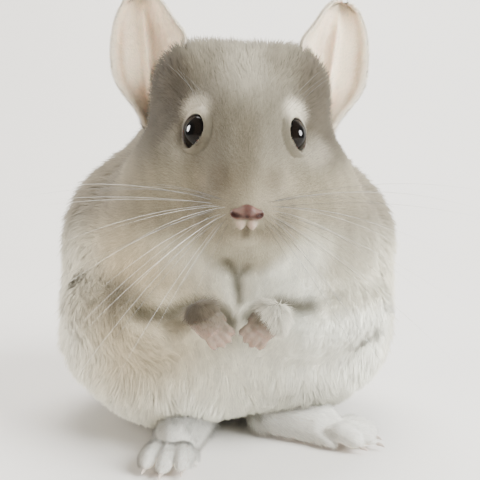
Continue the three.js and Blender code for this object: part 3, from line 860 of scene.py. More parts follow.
class CHINCHILLA_OT_muzzle(bpy.types.Operator):
    """Shape the nose pad, nostrils, split lip and mouth"""

    bl_idname = "chinchilla.muzzle"
    bl_label = "Nose and Mouth"

    def execute(self, context):
        face = context.scene.chinchilla_face
        bm = bmesh.new()
        bmesh.ops.create_icosphere(bm, subdivisions=6, radius=1)
        ways = unit(np.array([vert.co for vert in bm.verts]))
        centre = np.array([0, -36, -23.5])
        near, far = np.zeros(len(ways)), np.full(len(ways), 20.0)
        for _ in range(18):
            half = (near + far) / 2
            out = muzzle_field(centre + ways * half[:, None]) > 0
            near, far = np.where(out, near, half), np.where(out, half, far)
        for vert, spot_here in zip(bm.verts, on_head(centre + ways * near[:, None])):
            vert.co = Vector(spot_here)
        mesh = mesh_of(bm, "muzzle")
        nose, lip = np.array(face.nose_colour), np.array(face.lip_colour)

        def colours(points, normals):
            local = to_head(points)
            colour = pelt_at(points, normals) * 0.8
            colour = mix(colour, lip, 0.75 * smooth(0.5, -0.6, lip_field(local))[:, None])
            rosy = smooth(0.8, -0.4, nose_field(local))
            colour = mix(colour, nose, rosy[:, None])
            # Painted shade in the middle of the nose pad, between the nostrils
            middle = rosy * smooth(2.4, 0.4, np.abs(local[:, 0]))
            colour = mix(colour, nose * np.array([0.3, 0.2, 0.2]), 0.8 * middle[:, None])
            # Painted shade in the nostrils, the cleft of the lip and the mouth
            dark = smooth(0.9, -0.1, groove_field(local))[:, None]
            return mix(colour, colour * np.array([0.2, 0.13, 0.11]), dark)

        paint_vertices(mesh, colours)
        add_object("muzzle", mesh, bare_skin_material("nose_skin", 0.38))
        return {"FINISHED"}


def nose_field(local):
    return melt(
        1.6,
        egg(local, (0, -44.6, -19.4), (3.2, 2.7, 2.6)),
        both(local, (3.4, -43.6, -20.4), (2.7, 2.7, 2.0)),
    )


def lip_field(local):
    return both(local, (2.0, -42.6, -24.0), (1.5, 2.2, 2.3))


def groove_field(local):
    """The nostrils, the cleft of the upper lip and the mouth."""
    nostrils = np.minimum(*(
        rod(local, [(s * 1.3, -47.2, -22.2), (s * 2.8, -46.8, -21.3), (s * 5.0, -45.2, -20.5)], 0.7)
        for s in (-1, 1)
    ))
    cleft = rod(local, [(0, -46.9, -21.2), (0, -45.4, -24.0), (0, -43.6, -26.4)], 0.36)
    corners = [(-4.2, -39.6, -30.0), (-2.2, -41.6, -28.0), (0, -42.6, -26.6)]
    mouth = rod(local, corners + [(-x, y, z) for x, y, z in corners[1::-1]], 0.4)
    gape_top = egg(local, (0.4, -42.6, -27.4), (1.5, 3.4, 1.5))
    gape = melt(0.8, gape_top, egg(local, (0.4, -41.4, -29.2), (0.7, 3.2, 2.2)))
    return np.minimum(np.minimum(nostrils, cleft), np.minimum(mouth, gape))


def muzzle_field(local):
    base = head_field(local) + mix(0.5, 3.0, smooth(-3.6, -1.0, muzzle_zone(local)))
    shape = melt(1.8, base, nose_field(local) + 0.1, lip_field(local) + 0.3)
    shape = carve(0.6, shape, groove_field(local))
    return np.maximum(shape, egg(local, (0, -37, -23.5), (14, 13, 14.5)))


class CHINCHILLA_OT_eyes(bpy.types.Operator):
    """Fit the glossy dark eyes and the rims of their lids"""

    bl_idname = "chinchilla.eyes"
    bl_label = "Eyes and Lids"

    def execute(self, context):
        material, nodes, links, shader = principled(
            "eye_gloss", Roughness=0.06, Specular_IOR_Level=0.12
        )
        ring = attribute(nodes, "pelt", "Color")
        tinted = mottled(nodes, links, ring, 300.0, 2600.0, 0.5)
        links.new(tinted.outputs["Color"], shader.inputs["Base Color"])
        rim_material = bare_skin_material("lid_skin", 0.6, 0.05)
        for name, side in SIDES.items():
            facing = np.array([side, 1, 1]) * EYE_FACING
            bm = bmesh.new()
            bmesh.ops.create_uvsphere(bm, u_segments=64, v_segments=40, radius=EYE_RADIUS)
            turn = Vector((0, 0, 1)).rotation_difference(Vector(HEAD_AXES @ facing)).to_matrix()
            bmesh.ops.rotate(bm, verts=bm.verts, cent=(0, 0, 0), matrix=turn)
            bmesh.ops.translate(bm, verts=bm.verts, vec=EYES[side])
            mesh = mesh_of(bm, "eye_" + name)

            def iris(points, normals, side=side, facing=facing):
                towards = unit(points - EYES[side]) @ (HEAD_AXES @ facing)
                angle = np.degrees(np.arccos(np.clip(towards, -1, 1)))
                brown, black = np.array([0.005, 0.0035, 0.0025]), np.array([0.0012, 0.0012, 0.0012])
                colour = mix(black, brown, smooth(20, 26, angle)[:, None])
                return mix(colour, black, smooth(40, 50, angle)[:, None])

            paint_vertices(mesh, iris)
            add_object("eyeball_" + name, mesh, material, ["eye_" + name])

            high = unit(np.array([side * -0.1, -0.25, 1.0]) - 0.3 * facing)
            wide = unit(np.cross(facing, high))
            high = np.cross(wide, facing)
            centre = to_head(EYES[side][None])[0]

            def lid(across, along, side=side, facing=facing, wide=wide, high=high, centre=centre):
                angle = across * 2 * math.pi
                # From the ball's surface, over the rim's crest and down under the fur
                out = np.interp(along, [0, 0.12, 0.3, 0.5, 0.75, 1], [-0.35, -0.1, 0.35, 0.95, 2.2, 4.2])
                lift = np.interp(along, [0, 0.12, 0.3, 0.5, 0.75, 1], [-0.7, 0.15, 0.55, 0.4, -0.6, -2.6])
                lower = np.maximum(0, -np.sin(angle))
                upper = np.maximum(0, np.sin(angle))
                x = (5.7 + out) * np.cos(angle) * (1 - 0.34 * lower**1.5)
                y = (6.1 + out * (1 + 0.25 * upper)) * np.sin(angle) * (1 + 0.12 * lower**2)
                radius = np.minimum(np.hypot(x, y), EYE_RADIUS - 0.4)
                depth = np.sqrt(EYE_RADIUS**2 - radius**2)
                depth = np.where(out > 0, math.sqrt(EYE_RADIUS**2 - 5.7**2) - 0.15 * out, depth) + lift
                local = centre + x[:, None] * wide + y[:, None] * high + depth[:, None] * facing
                return on_head(local)

            bm = bmesh.new()
            wrapped_sheet(bm, 72, 14, lid)
            mesh = mesh_of(bm, "lid_" + name)

            def lid_colour(points, normals, side=side):
                far = np.linalg.norm(points - EYES[side], axis=1)
                dark = np.array([0.045, 0.036, 0.034])
                return mix(dark, pelt_at(points, normals) * 0.85, smooth(7.8, 8.3, far)[:, None])

            paint_vertices(mesh, lid_colour)
            add_object("lid_" + name, mesh, rim_material)
        return {"FINISHED"}


EAR_LENGTH = 54
EAR_WIDTH = 28


def ear_frame(side):
    """The ear's root, its axis, the way across it and the way it faces, in the head's frame."""
    axis = unit(np.array([side * 0.17, 0.1, 0.93]))
    facing = unit(np.array([side * 0.46, -1, 0.12]))
    over = unit(-side * np.cross(axis, facing))
    return np.array([side * 30.8, 13.8, 4.0]), axis, over, unit(side * np.cross(axis, over))


def ear_breadth(s, t):
    """Half the ear's width: s is below 0 on its outer half, and t runs from root to tip."""
    WIDEST, INNER_LOBE = 0.55, 0.29
    stem = 0.25 + 0.75 * smooth(0, 0.5, t)
    tip = np.sqrt(np.maximum(0.01, 1 - np.maximum(0, (t - WIDEST) / (1 - WIDEST)) ** 2))
    lobe = np.where(s > 0, INNER_LOBE * np.exp(-(((t - 0.6) / 0.13) ** 2)), 0)
    return EAR_WIDTH / 2 * stem * tip * (1 + lobe)


def ear_leaf(side, s, t):
    """The ear's middle sheet: s from -1 at its outer rim to 1 at its inner one, t from root to tip."""
    root, axis, over, front = ear_frame(side)
    opening = mix(0.4, 1, smooth(0, 0.4, t))
    cup = 10.5 * opening * (1 - 0.45 * t) * s * s + 4 * np.maximum(0, s) ** 3 * (1 - t)
    return (
        root
        + (EAR_LENGTH * t)[:, None] * axis
        + (s * ear_breadth(s, t))[:, None] * over
        + (cup - 5 * np.sin(math.pi / 2 * t))[:, None] * front
    )


def ear_place(side, across, along):
    """A flattened tube bent along the ear's leaf, with a rolled rim and an upright fold inside."""
    angle = across * 2 * math.pi
    s, face = -np.cos(angle), np.sin(angle)
    t = np.sin(along * math.pi / 2)
    front = ear_frame(side)[3]
    clear = np.minimum(t, 0.96)
    wide = ear_leaf(side, s + 0.02, clear) - ear_leaf(side, s - 0.02, clear)
    normal = unit(np.cross(wide, ear_leaf(side, s, clear + 0.02) - ear_leaf(side, s, clear - 0.02)))
    normal *= np.sign((normal * front).sum(1, keepdims=True))
    rim = np.exp(-(((np.abs(s) - 0.93) / 0.07) ** 2))
    wall = np.sign(face) * np.abs(face) ** 0.5 * (0.5 + 0.45 * rim)
    rise = smooth(0.0, 0.25, t) * smooth(1.0, 0.7, t)
    ridge = 2.8 * np.exp(-(((s + 0.1) / 0.13) ** 2)) + 1.0 * np.exp(-(((s - 0.6) / 0.2) ** 2))
    wall = wall + np.where(face > 0, ridge * rise * np.abs(face) ** 0.3, 0)
    return on_head(ear_leaf(side, s, t) + normal * wall[:, None])


def ear_spot(side, points):
    """Where points lie on the ear: s across it and t along it."""
    root, axis, over, _ = ear_frame(side)
    away = to_head(points) - root
    t = np.clip(away @ axis / EAR_LENGTH, 0, 1)
    across = away @ over
    return np.clip(across / ear_breadth(across, t), -1.1, 1.1), t


def ear_colour(side, points, normals):
    """Cream inside, with painted shade in its hollows and near its foot, and grey behind."""
    s, t = ear_spot(side, points)
    front = HEAD_AXES @ ear_frame(side)[3]
    inside = smooth(-0.15, 0.2, normals @ front)
    cream = np.array(bpy.context.scene.chinchilla_face.ear_colour)
    shares = ((0.5, 0.44, 0.37), (0.6, 0.55, 0.5), (0.72, 0.55, 0.45))
    brown, beige, rosy = (cream * np.array(share) for share in shares)
    colour = np.tile(cream, (len(points), 1))
    # Painted shade: brown inside the outer rim, beige in the inner hollow, rosy in the hollow at the foot
    outer = np.exp(-(((s + 0.8) / 0.1) ** 2)) * smooth(0.15, 0.35, t) * smooth(1.0, 0.6, t)
    inner = smooth(-0.06, 0.06, s) * smooth(0.62, 0.2, s) * smooth(0.25, 0.45, t) * smooth(1.0, 0.6, t)
    foot = smooth(0.42, 0.26, t) * smooth(0.08, 0.16, t) * np.exp(-(((s + 0.45) / 0.2) ** 2))
    for shade, amount in ((brown, 0.8 * outer), (beige, 0.6 * inner), (rosy, 0.5 * foot)):
        colour = mix(colour, shade, amount[:, None])
    return mix(np.tile(PELT["back"] * 0.9, (len(points), 1)), colour, inside[:, None])


class CHINCHILLA_OT_ears(bpy.types.Operator):
    """Shape the thin cupped ears"""

    bl_idname = "chinchilla.ears"
    bl_label = "Ears"

    def execute(self, context):
        material = bare_skin_material("ear_skin", 0.55)
        for name, side in SIDES.items():
            bm = bmesh.new()
            wrapped_sheet(bm, 160, 64, lambda across, along: ear_place(side, across, along))
            mesh = mesh_of(bm, "ear_" + name)
            paint_vertices(mesh, lambda points, normals: ear_colour(side, points, normals))
            add_object("ear_shell_" + name, mesh, material, ["ear_" + name])
        return {"FINISHED"}


class CHINCHILLA_OT_paws(bpy.types.Operator):
    """Shape the hands and the hind feet"""

    bl_idname = "chinchilla.paws"
    bl_label = "Hands and Feet"

    def execute(self, context):
        material = bare_skin_material("paw_skin", 0.6)
        pale, pink = linear(240, 226, 212), linear(214, 176, 158)
        # Painted shade: the hand's top darker where the ruff overhangs it, paler below
        shaded_hand_top = linear(104, 94, 82)
        voxel = 0.42
        for name in SIDES:
            for limb, colour in (("hand", shaded_hand_top), ("foot", pale)):
                node = f"{limb}_{name}"
                mesh = remeshed(voxel_copy([node], voxel, 0.0), voxel, 26 if limb == "foot" else 4)

                def colours(points, normals, colour=colour, limb=limb):
                    under = smooth(0.0, -0.8, normals[:, 2])[:, None]
                    low = 0.6 * smooth(3.0, 0.5, points[:, 2])[:, None] if limb == "foot" else 0.4
                    base = np.tile(colour, (len(points), 1))
                    if limb == "hand":
                        base = mix(base, linear(146, 128, 115), smooth(60, 52, points[:, 2])[:, None])
                    return mix(base, pink, np.clip(0.7 * under * low, 0, 1))

                paint_vertices(mesh, colours)
                add_object(f"{limb}_skin_{name}", mesh, material, [node])
        return {"FINISHED"}


class CHINCHILLA_OT_claws(bpy.types.Operator):
    """Copy the small claws of the fingers and toes and round them off"""

    bl_idname = "chinchilla.claws"
    bl_label = "Claws"

    def execute(self, context):
        material, nodes, links, shader = principled("claw_horn", Roughness=0.35, Specular_IOR_Level=0.45)
        horn = mottled(nodes, links, (0.5, 0.42, 0.36, 1), 400.0, 3000.0, 0.3)
        links.new(horn.outputs["Color"], shader.inputs["Base Color"])
        for node in sorted(n for n in frame["nodes"] if "_claw_" in n):
            bm = bmesh.new()
            bm.from_mesh(frame["nodes"][node].data)
            bmesh.ops.remove_doubles(bm, verts=bm.verts, dist=1e-6)
            mesh = bpy.data.meshes.new(node)
            bm.to_mesh(mesh)
            bm.free()
            mesh.shade_smooth()
            piece = add_object(node.replace("_claw_", "_nail_"), mesh, material, [node])
            finer = piece.modifiers.new("Subdivision", "SUBSURF")
            finer.levels = finer.render_levels = 2
        return {"FINISHED"}


def unwrap_round(points, centre, sector):
    """A root's place on the skin, unrolled round an upright axis through the centre."""
    away = points - centre
    azimuth = np.arctan2(away[:, 0], -away[:, 1])
    low, high = sector
    u = (azimuth - low) / (high - low)
    v = 0.5 + np.arctan2(away[:, 2], np.hypot(away[:, 0], away[:, 1])) / math.pi
    return np.clip(np.stack([u, v], 1), 0, 1) * 0.96 + 0.02


class CHINCHILLA_OT_coat(bpy.types.Operator):
    """Grow the plush coat of the body and head in overlapping tufts"""

    bl_idname = "chinchilla.coat"
    bl_label = "Coat"

    def execute(self, context):
        coat = context.scene.chinchilla_coat
        draw = np.random.default_rng(coat.seed)
        skin = bpy.data.objects["skin"]
        sparse = 1.0
        from_nose = lambda points: np.linalg.norm(to_head(points) - NOSE, axis=1)

        def density(points, normals):
            face = smooth(75, 42, from_nose(points))
            bare = np.minimum(*(np.linalg.norm(points - EYES[side], axis=1) for side in (-1, 1))) > 8.0
            bare &= muzzle_zone(to_head(points)) > -2.8
            return sparse * mix(coat.body_density, coat.face_density, face) * bare

        roots, normals = scatter(skin, density, draw)
        face = smooth(75, 42, from_nose(roots))
        flow = coat_flow(roots, normals)
        length = coat_length(roots) * draw.uniform(0.82, 1.1, len(roots))
        lift = coat_lift(roots) * draw.uniform(0.75, 1.2, len(roots))
        lines = bent_lines(roots, normals, flow, length, lift, 0.22, draw)
        pull = mix(0.24, 0.1, face) * mix(1, 0.55, smooth(75, 110, roots[:, 2]))
        lines, normals = gathered(lines, normals, 90 * sparse, pull, draw)
        width = mix(coat.body_width, coat.face_width, face) * draw.uniform(0.8, 1.2, len(roots)) / math.sqrt(sparse)
        widths = width[:, None] * np.array([1.0, 0.85, 0.0])
        tones = draw.normal(1, 0.07, len(roots)).clip(0.75, 1.25)
        colours, shades = pelt_at(lines[:, 1], normals), root_shade(roots)
        lines[:, :, 2] = np.maximum(lines[:, :, 2], 0.05)
        material = hair_material()
        on_the_head = head_field(to_head(roots)) < 2.5
        short = ~on_the_head & (length < 6.4)
        body_centre = np.array([0, 0, 58.0])
        # Short hairs are straight, and a long one bends at its middle
        for label, chosen, centre, points, most in (
            ("head", on_the_head, HEAD_CENTRE, [0, 2], 62000),
            ("front", short, body_centre, [0, 2], 62000),
            ("body", ~on_the_head & ~short, body_centre, [0, 1, 2], 21500),
        ):
            index = np.flatnonzero(chosen)
            away = roots[index] - centre
            azimuth = np.arctan2(away[:, 0], -away[:, 1])
            order = index[np.argsort(azimuth)]
            azimuth = np.sort(azimuth)
            for number, part in enumerate(np.array_split(np.arange(len(order)), max(1, -(-len(order) // most)))):
                pick = order[part]
                places = unwrap_round(roots[pick], centre, (azimuth[part[0]], azimuth[part[-1]] + 1e-6))
                mesh = strands(
                    f"coat_{label}_{number + 1}",
                    lines[pick][:, points],
                    widths[pick][:, points],
                    normals[pick],
                    tones[pick],
                    colours[pick],
                    places,
                    root=shades[pick],
                )
                add_object(f"coat_{label}_{number + 1}", mesh, material)
        return {"FINISHED"}


class CHINCHILLA_OT_tail(bpy.types.Operator):
    """Build the tail: short fur on its base and a brush of long bristles"""

    bl_idname = "chinchilla.tail"
    bl_label = "Tail"

    def execute(self, context):
        draw = np.random.default_rng(context.scene.chinchilla_coat.seed + 1)
        sparse = 1.0
        bm = bmesh.new()
        tube(
            bm,
            TAIL_LINE,
            lambda t: np.interp(t, [0, 0.04, 0.3, 0.97, 1], [0, 8.0, 5.0, 2.6, 0]),
            columns=32,
            rows=72,
        )
        mesh = mesh_of(bm, "tail_core")
        paint_vertices(mesh, tail_colour)
        core = add_object("tail_core", mesh, skin_material(), ["tail_base", "tail_brush"])
        roots, normals = scatter(core, lambda p, n: np.full(len(p), 3.4 * sparse), draw)
        shares = np.linspace(0, 1, 200)
        line, ways = curve_points(TAIL_LINE, shares)
        nearest = np.argmin(((roots[:, None, :] - line[None]) ** 2).sum(2), axis=1)
        along, way = shares[nearest], ways[nearest]
        top = 0.5 + 0.5 * normals[:, 2]
        length = mix(9, mix(17, 24, top), smooth(0.12, 0.4, along)) * draw.uniform(0.75, 1.1, len(roots))
        lift = np.radians(mix(12, 33, top)) * draw.uniform(0.6, 1.25, len(roots))
        flow = unit(way - normals * (way * normals).sum(1, keepdims=True))
        lines = bent_lines(roots, normals, flow, length, lift, 0.12, draw, points=4)
        lines, normals = gathered(lines, normals, 14 * sparse, np.full(len(roots), 0.35), draw)
        lines[:, :, 2] = np.maximum(lines[:, :, 2], 0.1)
        width = 0.62 * draw.uniform(0.8, 1.2, len(roots)) / math.sqrt(sparse)
        widths = width[:, None] * np.array([1.0, 0.95, 0.7, 0.0])
        colours = tail_colour(roots, normals)
        tones = draw.normal(1, 0.12, len(roots)).clip(0.6, 1.35)
        side = np.cross(way, [0, 0, 1.0])
        angle = np.arctan2((normals * side).sum(1), normals[:, 2])
        places = np.stack([0.5 + angle / (2 * math.pi), along], 1).clip(0, 1) * 0.96 + 0.02
        material = bpy.data.materials.get("plush_hair") or hair_material()
        halves = ((angle < 0, 0), (angle >= 0, 1))
        for chosen, number in halves:
            mesh = strands(
                f"tail_brush_{number + 1}",
                lines[chosen],
                widths[chosen],
                normals[chosen],
                tones[chosen],
                colours[chosen],
                places[chosen] * np.array([2, 1]) - np.array([number, 0]),
            )
            add_object(f"tail_hair_{number + 1}", mesh, material)
        return {"FINISHED"}


def tail_colour(points, normals):
    top = smooth(-0.3, 0.6, normals[:, 2])[:, None]
    return mix(np.tile(linear(206, 200, 190), (len(points), 1)), linear(128, 121, 115), top)


class CHINCHILLA_OT_fringe(bpy.types.Operator):
    """Grow the fine short hair of the muzzle, ears, lids, hands and feet"""

    bl_idname = "chinchilla.fringe"
    bl_label = "Short Hair"

    def execute(self, context):
        draw = np.random.default_rng(context.scene.chinchilla_coat.seed + 2)
        sparse = 1.0
        material = bpy.data.materials.get("plush_hair") or hair_material()

        def grow(name, piece, density, length, lift, width, flow_of, colour_of, centre, tone=0.06, root=0.7):
            roots, normals = scatter(piece, density, draw)
            if not len(roots):
                return
            lengths = length(roots) * draw.uniform(0.75, 1.15, len(roots))
            flow = flow_of(roots, normals)
            flow = unit(flow - normals * (flow * normals).sum(1, keepdims=True))
            lifts = np.full(len(roots), math.radians(lift)) * draw.uniform(0.7, 1.3, len(roots))
            lines = bent_lines(roots, normals, flow, lengths, lifts, 0.2, draw, points=2, sink=0.12)
            lines[:, :, 2] = np.maximum(lines[:, :, 2], 0.05)
            widths = np.full((len(roots), 1), width / math.sqrt(sparse)) * np.array([1.0, 0.0])
            tones = draw.normal(1, tone, len(roots)).clip(0.7, 1.3)
            places = unwrap_round(roots, centre, (-math.pi, math.pi))
            mesh = strands(name, lines, widths, normals, tones, colour_of(roots, normals), places, root=root)
            add_object(name, mesh, material)

        away_from_nose = lambda p, n: unit(p - on_head(NOSE + np.array([0, 2.0, 2.0])))

        def furry(points, normals):
            local = to_head(points)
            clear = (nose_field(local) > 0.3) & (groove_field(local) > 0.3) & (muzzle_zone(local) < -0.8)
            return 12.0 * sparse * clear * (local[:, 1] < -27) * mix(0.5, 1.0, smooth(-0.3, 0.8, lip_field(local)))

        grow(
            "coat_muzzle",
            bpy.data.objects["muzzle"],
            furry,
            lambda p: np.interp(np.linalg.norm(to_head(p) - NOSE, axis=1), [3, 8, 16], [0.6, 1.1, 1.8]),
            22,
            0.24,
            away_from_nose,
            pelt_at,
            on_head([0, -34, -21]),
        )
        for name, side in SIDES.items():
            eye = EYES[side]
            grow(
                "coat_lid_" + name,
                bpy.data.objects["lid_" + name],
                lambda p, n: 24.0 * sparse * (np.linalg.norm(p - eye, axis=1) > 7.95),
                lambda p: np.interp(np.linalg.norm(p - eye, axis=1), [8, 11], [1.1, 2.6]),
                16,
                0.2,
                lambda p, n: unit(unit(p - eye) + 0.7 * away_from_nose(p, n)),
                pelt_at,
                eye,
            )
            root, axis, _, front = ear_frame(side)
            axis, front, ear_middle = HEAD_AXES @ axis, HEAD_AXES @ front, on_head(root + axis * 28)

            def ear_flow(points, normals):
                outward = (points - ear_middle) - np.outer((points - ear_middle) @ axis, axis)
                return unit(axis * 0.9 + unit(outward) * 0.9)

            def ear_hair_colour(points, normals):
                inside = smooth(-0.2, 0.4, normals @ front)[:, None]
                s = ear_spot(side, points)[0]
                pale = mix(ear_colour(side, points, normals) * 1.1, linear(252, 236, 212), 0.35)
                rim = smooth(0.8, 0.98, np.abs(s))[:, None]
                base = mix(PELT["back"] * 1.1, pale, inside)
                return mix(base, linear(254, 242, 220), 0.8 * rim).clip(0, 1)

            def ear_density(points, normals):
                inside = smooth(-0.1, 0.3, normals @ front)
                s, t = ear_spot(side, points)
                rim = smooth(0.82, 0.97, np.abs(s)) * smooth(1.0, 0.9, t) + smooth(0.9, 0.97, t)
                return sparse * (mix(7.5, 2.2, inside) + 11 * rim + 5 * smooth(0.25, 0.05, t))

            grow(
                "coat_ear_" + name,
                bpy.data.objects["ear_shell_" + name],
                ear_density,
                lambda p: np.interp(ear_spot(side, p)[1], [0, 0.3, 1], [4.0, 2.2, 1.5]),
                26,
                0.22,
                ear_flow,
                ear_hair_colour,
                ear_middle,
            )
            hand = bpy.data.objects["hand_skin_" + name]
            middle = node_middle("hand_" + name)
            turned = 1.0 if side > 0 else 0.35
            covered = lambda p: smooth(3.5, 8.0, turned * side * (p[:, 0] - middle[0]) + 0.8 * (p[:, 2] - middle[2]))

            def hand_colour(points, normals):
                # Painted shade: darker towards the top, under the overhanging ruff
                base = mix(linear(150, 134, 120), linear(102, 91, 78), smooth(53, 59, points[:, 2])[:, None])
                # The cuff is white fur on the left hand; on the right hand it is painted shade from the arm's fur
                # above it
                cuff = linear(222, 216, 198) if side > 0 else linear(112, 102, 86)
                return mix(base, cuff, 0.9 * covered(points)[:, None])

            grow(
                "coat_hand_" + name,
                hand,
                lambda p, n: sparse * mix(6.0, 16.0, covered(p)),
                lambda p: np.interp(p[:, 2], [47, 53, 62], [0.5, 0.7, 1.0]) + 4.2 * covered(p),
                18,
                0.26,
                lambda p, n: np.tile(np.array([-side * 0.5, -0.2, -1.0]), (len(p), 1)),
                hand_colour,
                middle,
                tone=0.1,
                root=0.74,
            )
            heel, ahead = np.array(HEELS[side], float), foot_ahead(side)
            grow(
                "coat_foot_" + name,
                bpy.data.objects["foot_skin_" + name],
                lambda p, n: 14.0 * sparse * (n[:, 2] > -0.35) * (p[:, 2] > 0.8),
                lambda p: np.interp((p - heel) @ ahead, [10, 30, 50, 58], [6.5, 4.0, 2.4, 1.6]),
                24,
                0.3,
                lambda p, n: np.tile(ahead + np.array([0, 0, -0.25]), (len(p), 1)),
                lambda p, n: np.tile(linear(255, 252, 242), (len(p), 1)),
                heel + ahead * 28,
                tone=0.1,
                root=0.9,
            )
        return {"FINISHED"}


class CHINCHILLA_OT_whiskers(bpy.types.Operator):
    """Grow the long whiskers and the few hairs of the brows"""

    bl_idname = "chinchilla.whiskers"
    bl_label = "Whiskers"

    def execute(self, context):
        face = context.scene.chinchilla_face
        draw = np.random.default_rng(11)
        lines, widths, tones = [], [], []
        shares = np.linspace(0, 1, 9)
        for side in (-1, 1):
            for row in range(face.whisker_rows):
                share = row / max(1, face.whisker_rows - 1)
                for column in range(5):
                    height = -18 - 8.0 * share + draw.normal(0, 0.4)
                    spot_here = np.array([side * (7.5 + 1.9 * column), -46.0, height])
                    centre = np.array([0, -18.0, -14.0])
                    way = unit(spot_here - centre)
                    reach = np.linspace(5, 50, 400)
                    out = head_field(centre + reach[:, None] * way) > -1.6
                    start = centre + way * reach[np.argmax(out)]
                    length = mix(50, 92, column / 4) * mix(1.0, 0.9, share) * draw.uniform(0.75, 1.05)
                    spread = math.radians(mix(16, -42, share) + draw.normal(0, 4))
                    sweep = math.radians(mix(-34, 4, column / 4) - 16 * share + draw.normal(0, 3))
                    ahead = np.array(
                        [side * math.cos(spread) * math.cos(sweep), math.sin(sweep), math.sin(spread)]
                    )
                    droop = length * draw.uniform(0.16, 0.3)
                    line = start + length * shares[:, None] * ahead
                    line = line + shares[:, None] ** 2 * np.array([0, length * 0.1, -droop])
                    lines.append(on_head(line))
                    widths.append(np.interp(shares, [0, 0.5, 1], [0.13, 0.09, 0.0]))
                    tones.append(0.82 if draw.random() < 0.4 else 0.2)
            for hair in range(3):
                start = np.array([side * (13 + 2 * hair), -25.0 + hair, 15.0])
                length = draw.uniform(24, 34)
                ahead = unit(np.array([side * 0.55, -0.55, 0.75]) + draw.normal(0, 0.08, 3))
                line = start + length * shares[:, None] * ahead + shares[:, None] ** 2 * np.array([0, 6, -6.0])
                lines.append(on_head(line))
                widths.append(np.interp(shares, [0, 0.5, 1], [0.1, 0.07, 0.0]))
                tones.append(0.3)
        lines, widths, tones = np.array(lines), np.array(widths), np.array(tones)
        count = len(lines)
        colours = np.tile(linear(238, 234, 226), (count, 1))
        places = np.stack([(np.arange(count) % 12 + 0.5) / 12, (np.arange(count) // 12 + 0.5) / 12], 1)
        normals = np.tile(np.array([0.0, -0.3, 1.0]), (count, 1))
        material, nodes, links, shader = principled("whisker_hair", Roughness=0.35, Specular_IOR_Level=0.5)
        soft = mottled(nodes, links, attribute(nodes, "pelt", "Color"), 60.0, 500.0, 0.2)
        links.new(soft.outputs["Color"], shader.inputs["Base Color"])
        mesh = strands("whiskers", lines, widths, normals, tones, colours, places, flat=1.0, own=1.5, root=0.3)
        add_object("whiskers", mesh, material)
        return {"FINISHED"}


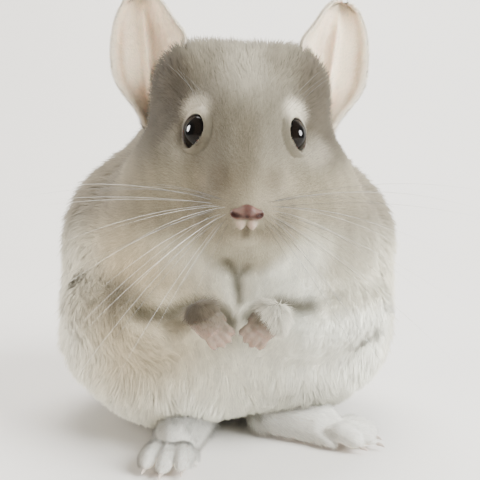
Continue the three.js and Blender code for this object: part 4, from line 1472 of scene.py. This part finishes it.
class CHINCHILLA_OT_stage(bpy.types.Operator):
    """Lay the plain floor and set the lamps and the camera"""

    bl_idname = "chinchilla.stage"
    bl_label = "Stage"

    def execute(self, context):
        stage = context.scene.chinchilla_stage
        bm = bmesh.new()

        def sweep(across, along):
            run = np.interp(along, [0, 0.45, 0.6, 1], [-900, 420, 760, 900])
            rise = np.interp(along, [0, 0.45, 0.5, 0.55, 0.6, 1], [0, 0, 30, 110, 260, 1400])
            return np.stack([(across - 0.5) * 2600, run, rise], 1)

        wrapped_sheet(bm, 4, 60, sweep)
        mesh = mesh_of(bm, "floor")
        material, nodes, links, shader = principled("floor_paper", Roughness=0.85, Specular_IOR_Level=0.15)
        paper = mottled(nodes, links, (*stage.floor_colour, 1), 6.0, 900.0, 0.05)
        links.new(paper.outputs["Color"], shader.inputs["Base Color"])
        bump(nodes, links, paper.outputs["Height"], shader, 0.0002, 0.2)
        floor = bpy.data.objects.new("floor", mesh)
        context.scene.collection.objects.link(floor)
        mesh.materials.append(material)
        finer = floor.modifiers.new("Subdivision", "SUBSURF")
        finer.levels = finer.render_levels = 1

        target = Vector(to_frame([5, 0, 75.5]))
        distance, angle = stage.camera_distance, stage.camera_height
        lens = bpy.data.cameras.new("camera")
        lens.sensor_width = 36
        lens.lens = 36 * 1060 / 480
        camera = bpy.data.objects.new("camera", lens)
        away = Vector((0, -math.cos(angle), math.sin(angle)))
        camera.location = target + away * distance
        camera.rotation_euler = away.to_track_quat("Z", "Y").to_euler()
        context.scene.collection.objects.link(camera)
        context.scene.camera = camera

        lamps = [
            ("key", Vector((0.85, -0.6, 0.75)), stage.key_power, 0.9, (0.98, 1, 0.99)),
            ("fill", Vector((-0.9, -0.5, 0.4)), stage.key_power * 0.2, 1.0, (1, 0.92, 0.8)),
            ("top", Vector((0.0, 0.35, 0.95)), stage.key_power * 0.36, 0.8, (1, 0.98, 0.95)),
        ]
        # Small lamps seen only in glossy reflections, each placed to be mirrored in an eye at the spot it should
        # light there
        over, up = np.array([1.0, 0, 0]), np.array([0, math.sin(angle), math.cos(angle)])
        for side, across, rise in ((-1, -0.72, 0.24), (1, 0.68, 0.16)):
            towards = np.array(away)
            spot_here = across * over + rise * up + math.sqrt(1 - across**2 - rise**2) * towards
            mirror = 2 * (spot_here @ towards) * spot_here - towards
            lamps.append((f"glint_{side}", Vector(to_frame(EYES[side]) + 0.5 * mirror), 9.0, 0.2, (1, 1, 1)))
        for name, place, power, size, tint in lamps:
            light = bpy.data.lights.new(name, "AREA")
            light.energy = power
            light.shape = "DISK"
            light.size = size
            light.color = tint
            lamp = bpy.data.objects.new(name, light)
            lamp.location = place
            lamp.visible_glossy = name == "top" or "glint" in name
            lamp.visible_diffuse = "glint" not in name
            lamp.rotation_euler = (place - target).to_track_quat("Z", "Y").to_euler()
            context.scene.collection.objects.link(lamp)
        world = bpy.data.worlds.new("soft_room")
        world.use_nodes = True
        world.node_tree.nodes["Background"].inputs["Color"].default_value = (1.0, 0.98, 0.95, 1)
        world.node_tree.nodes["Background"].inputs["Strength"].default_value = 0.45
        context.scene.world = world
        return {"FINISHED"}


PIECES = (
    CHINCHILLA_OT_skin,
    CHINCHILLA_OT_muzzle,
    CHINCHILLA_OT_eyes,
    CHINCHILLA_OT_ears,
    CHINCHILLA_OT_paws,
    CHINCHILLA_OT_claws,
    CHINCHILLA_OT_coat,
    CHINCHILLA_OT_tail,
    CHINCHILLA_OT_fringe,
    CHINCHILLA_OT_whiskers,
    CHINCHILLA_OT_stage,
)


class CHINCHILLA_PT_panel(bpy.types.Panel):
    """Lists the pieces and their settings"""

    bl_idname = "CHINCHILLA_PT_panel"
    bl_label = "Chinchilla"
    bl_space_type = "VIEW_3D"
    bl_region_type = "UI"
    bl_category = "Chinchilla"

    def draw(self, context):
        for name in ("coat", "face", "stage"):
            settings = getattr(context.scene, "chinchilla_" + name)
            box = self.layout.box()
            box.label(text=name.capitalize())
            for label in settings.__annotations__:
                box.prop(settings, label)
        for piece in PIECES:
            self.layout.operator(piece.bl_idname)


CLASSES = (ChinchillaCoat, ChinchillaFace, ChinchillaStage, *PIECES, CHINCHILLA_PT_panel)


def register():
    for entry in CLASSES:
        bpy.utils.register_class(entry)
    bpy.types.Scene.chinchilla_coat = PointerProperty(type=ChinchillaCoat)
    bpy.types.Scene.chinchilla_face = PointerProperty(type=ChinchillaFace)
    bpy.types.Scene.chinchilla_stage = PointerProperty(type=ChinchillaStage)


def unregister():
    for name in ("coat", "face", "stage"):
        delattr(bpy.types.Scene, "chinchilla_" + name)
    for entry in reversed(CLASSES):
        bpy.utils.unregister_class(entry)


def main():
    register()
    for piece in PIECES:
        family, name = piece.bl_idname.split(".")
        getattr(getattr(bpy.ops, family), name)()


if __name__ == "__main__":
    main()
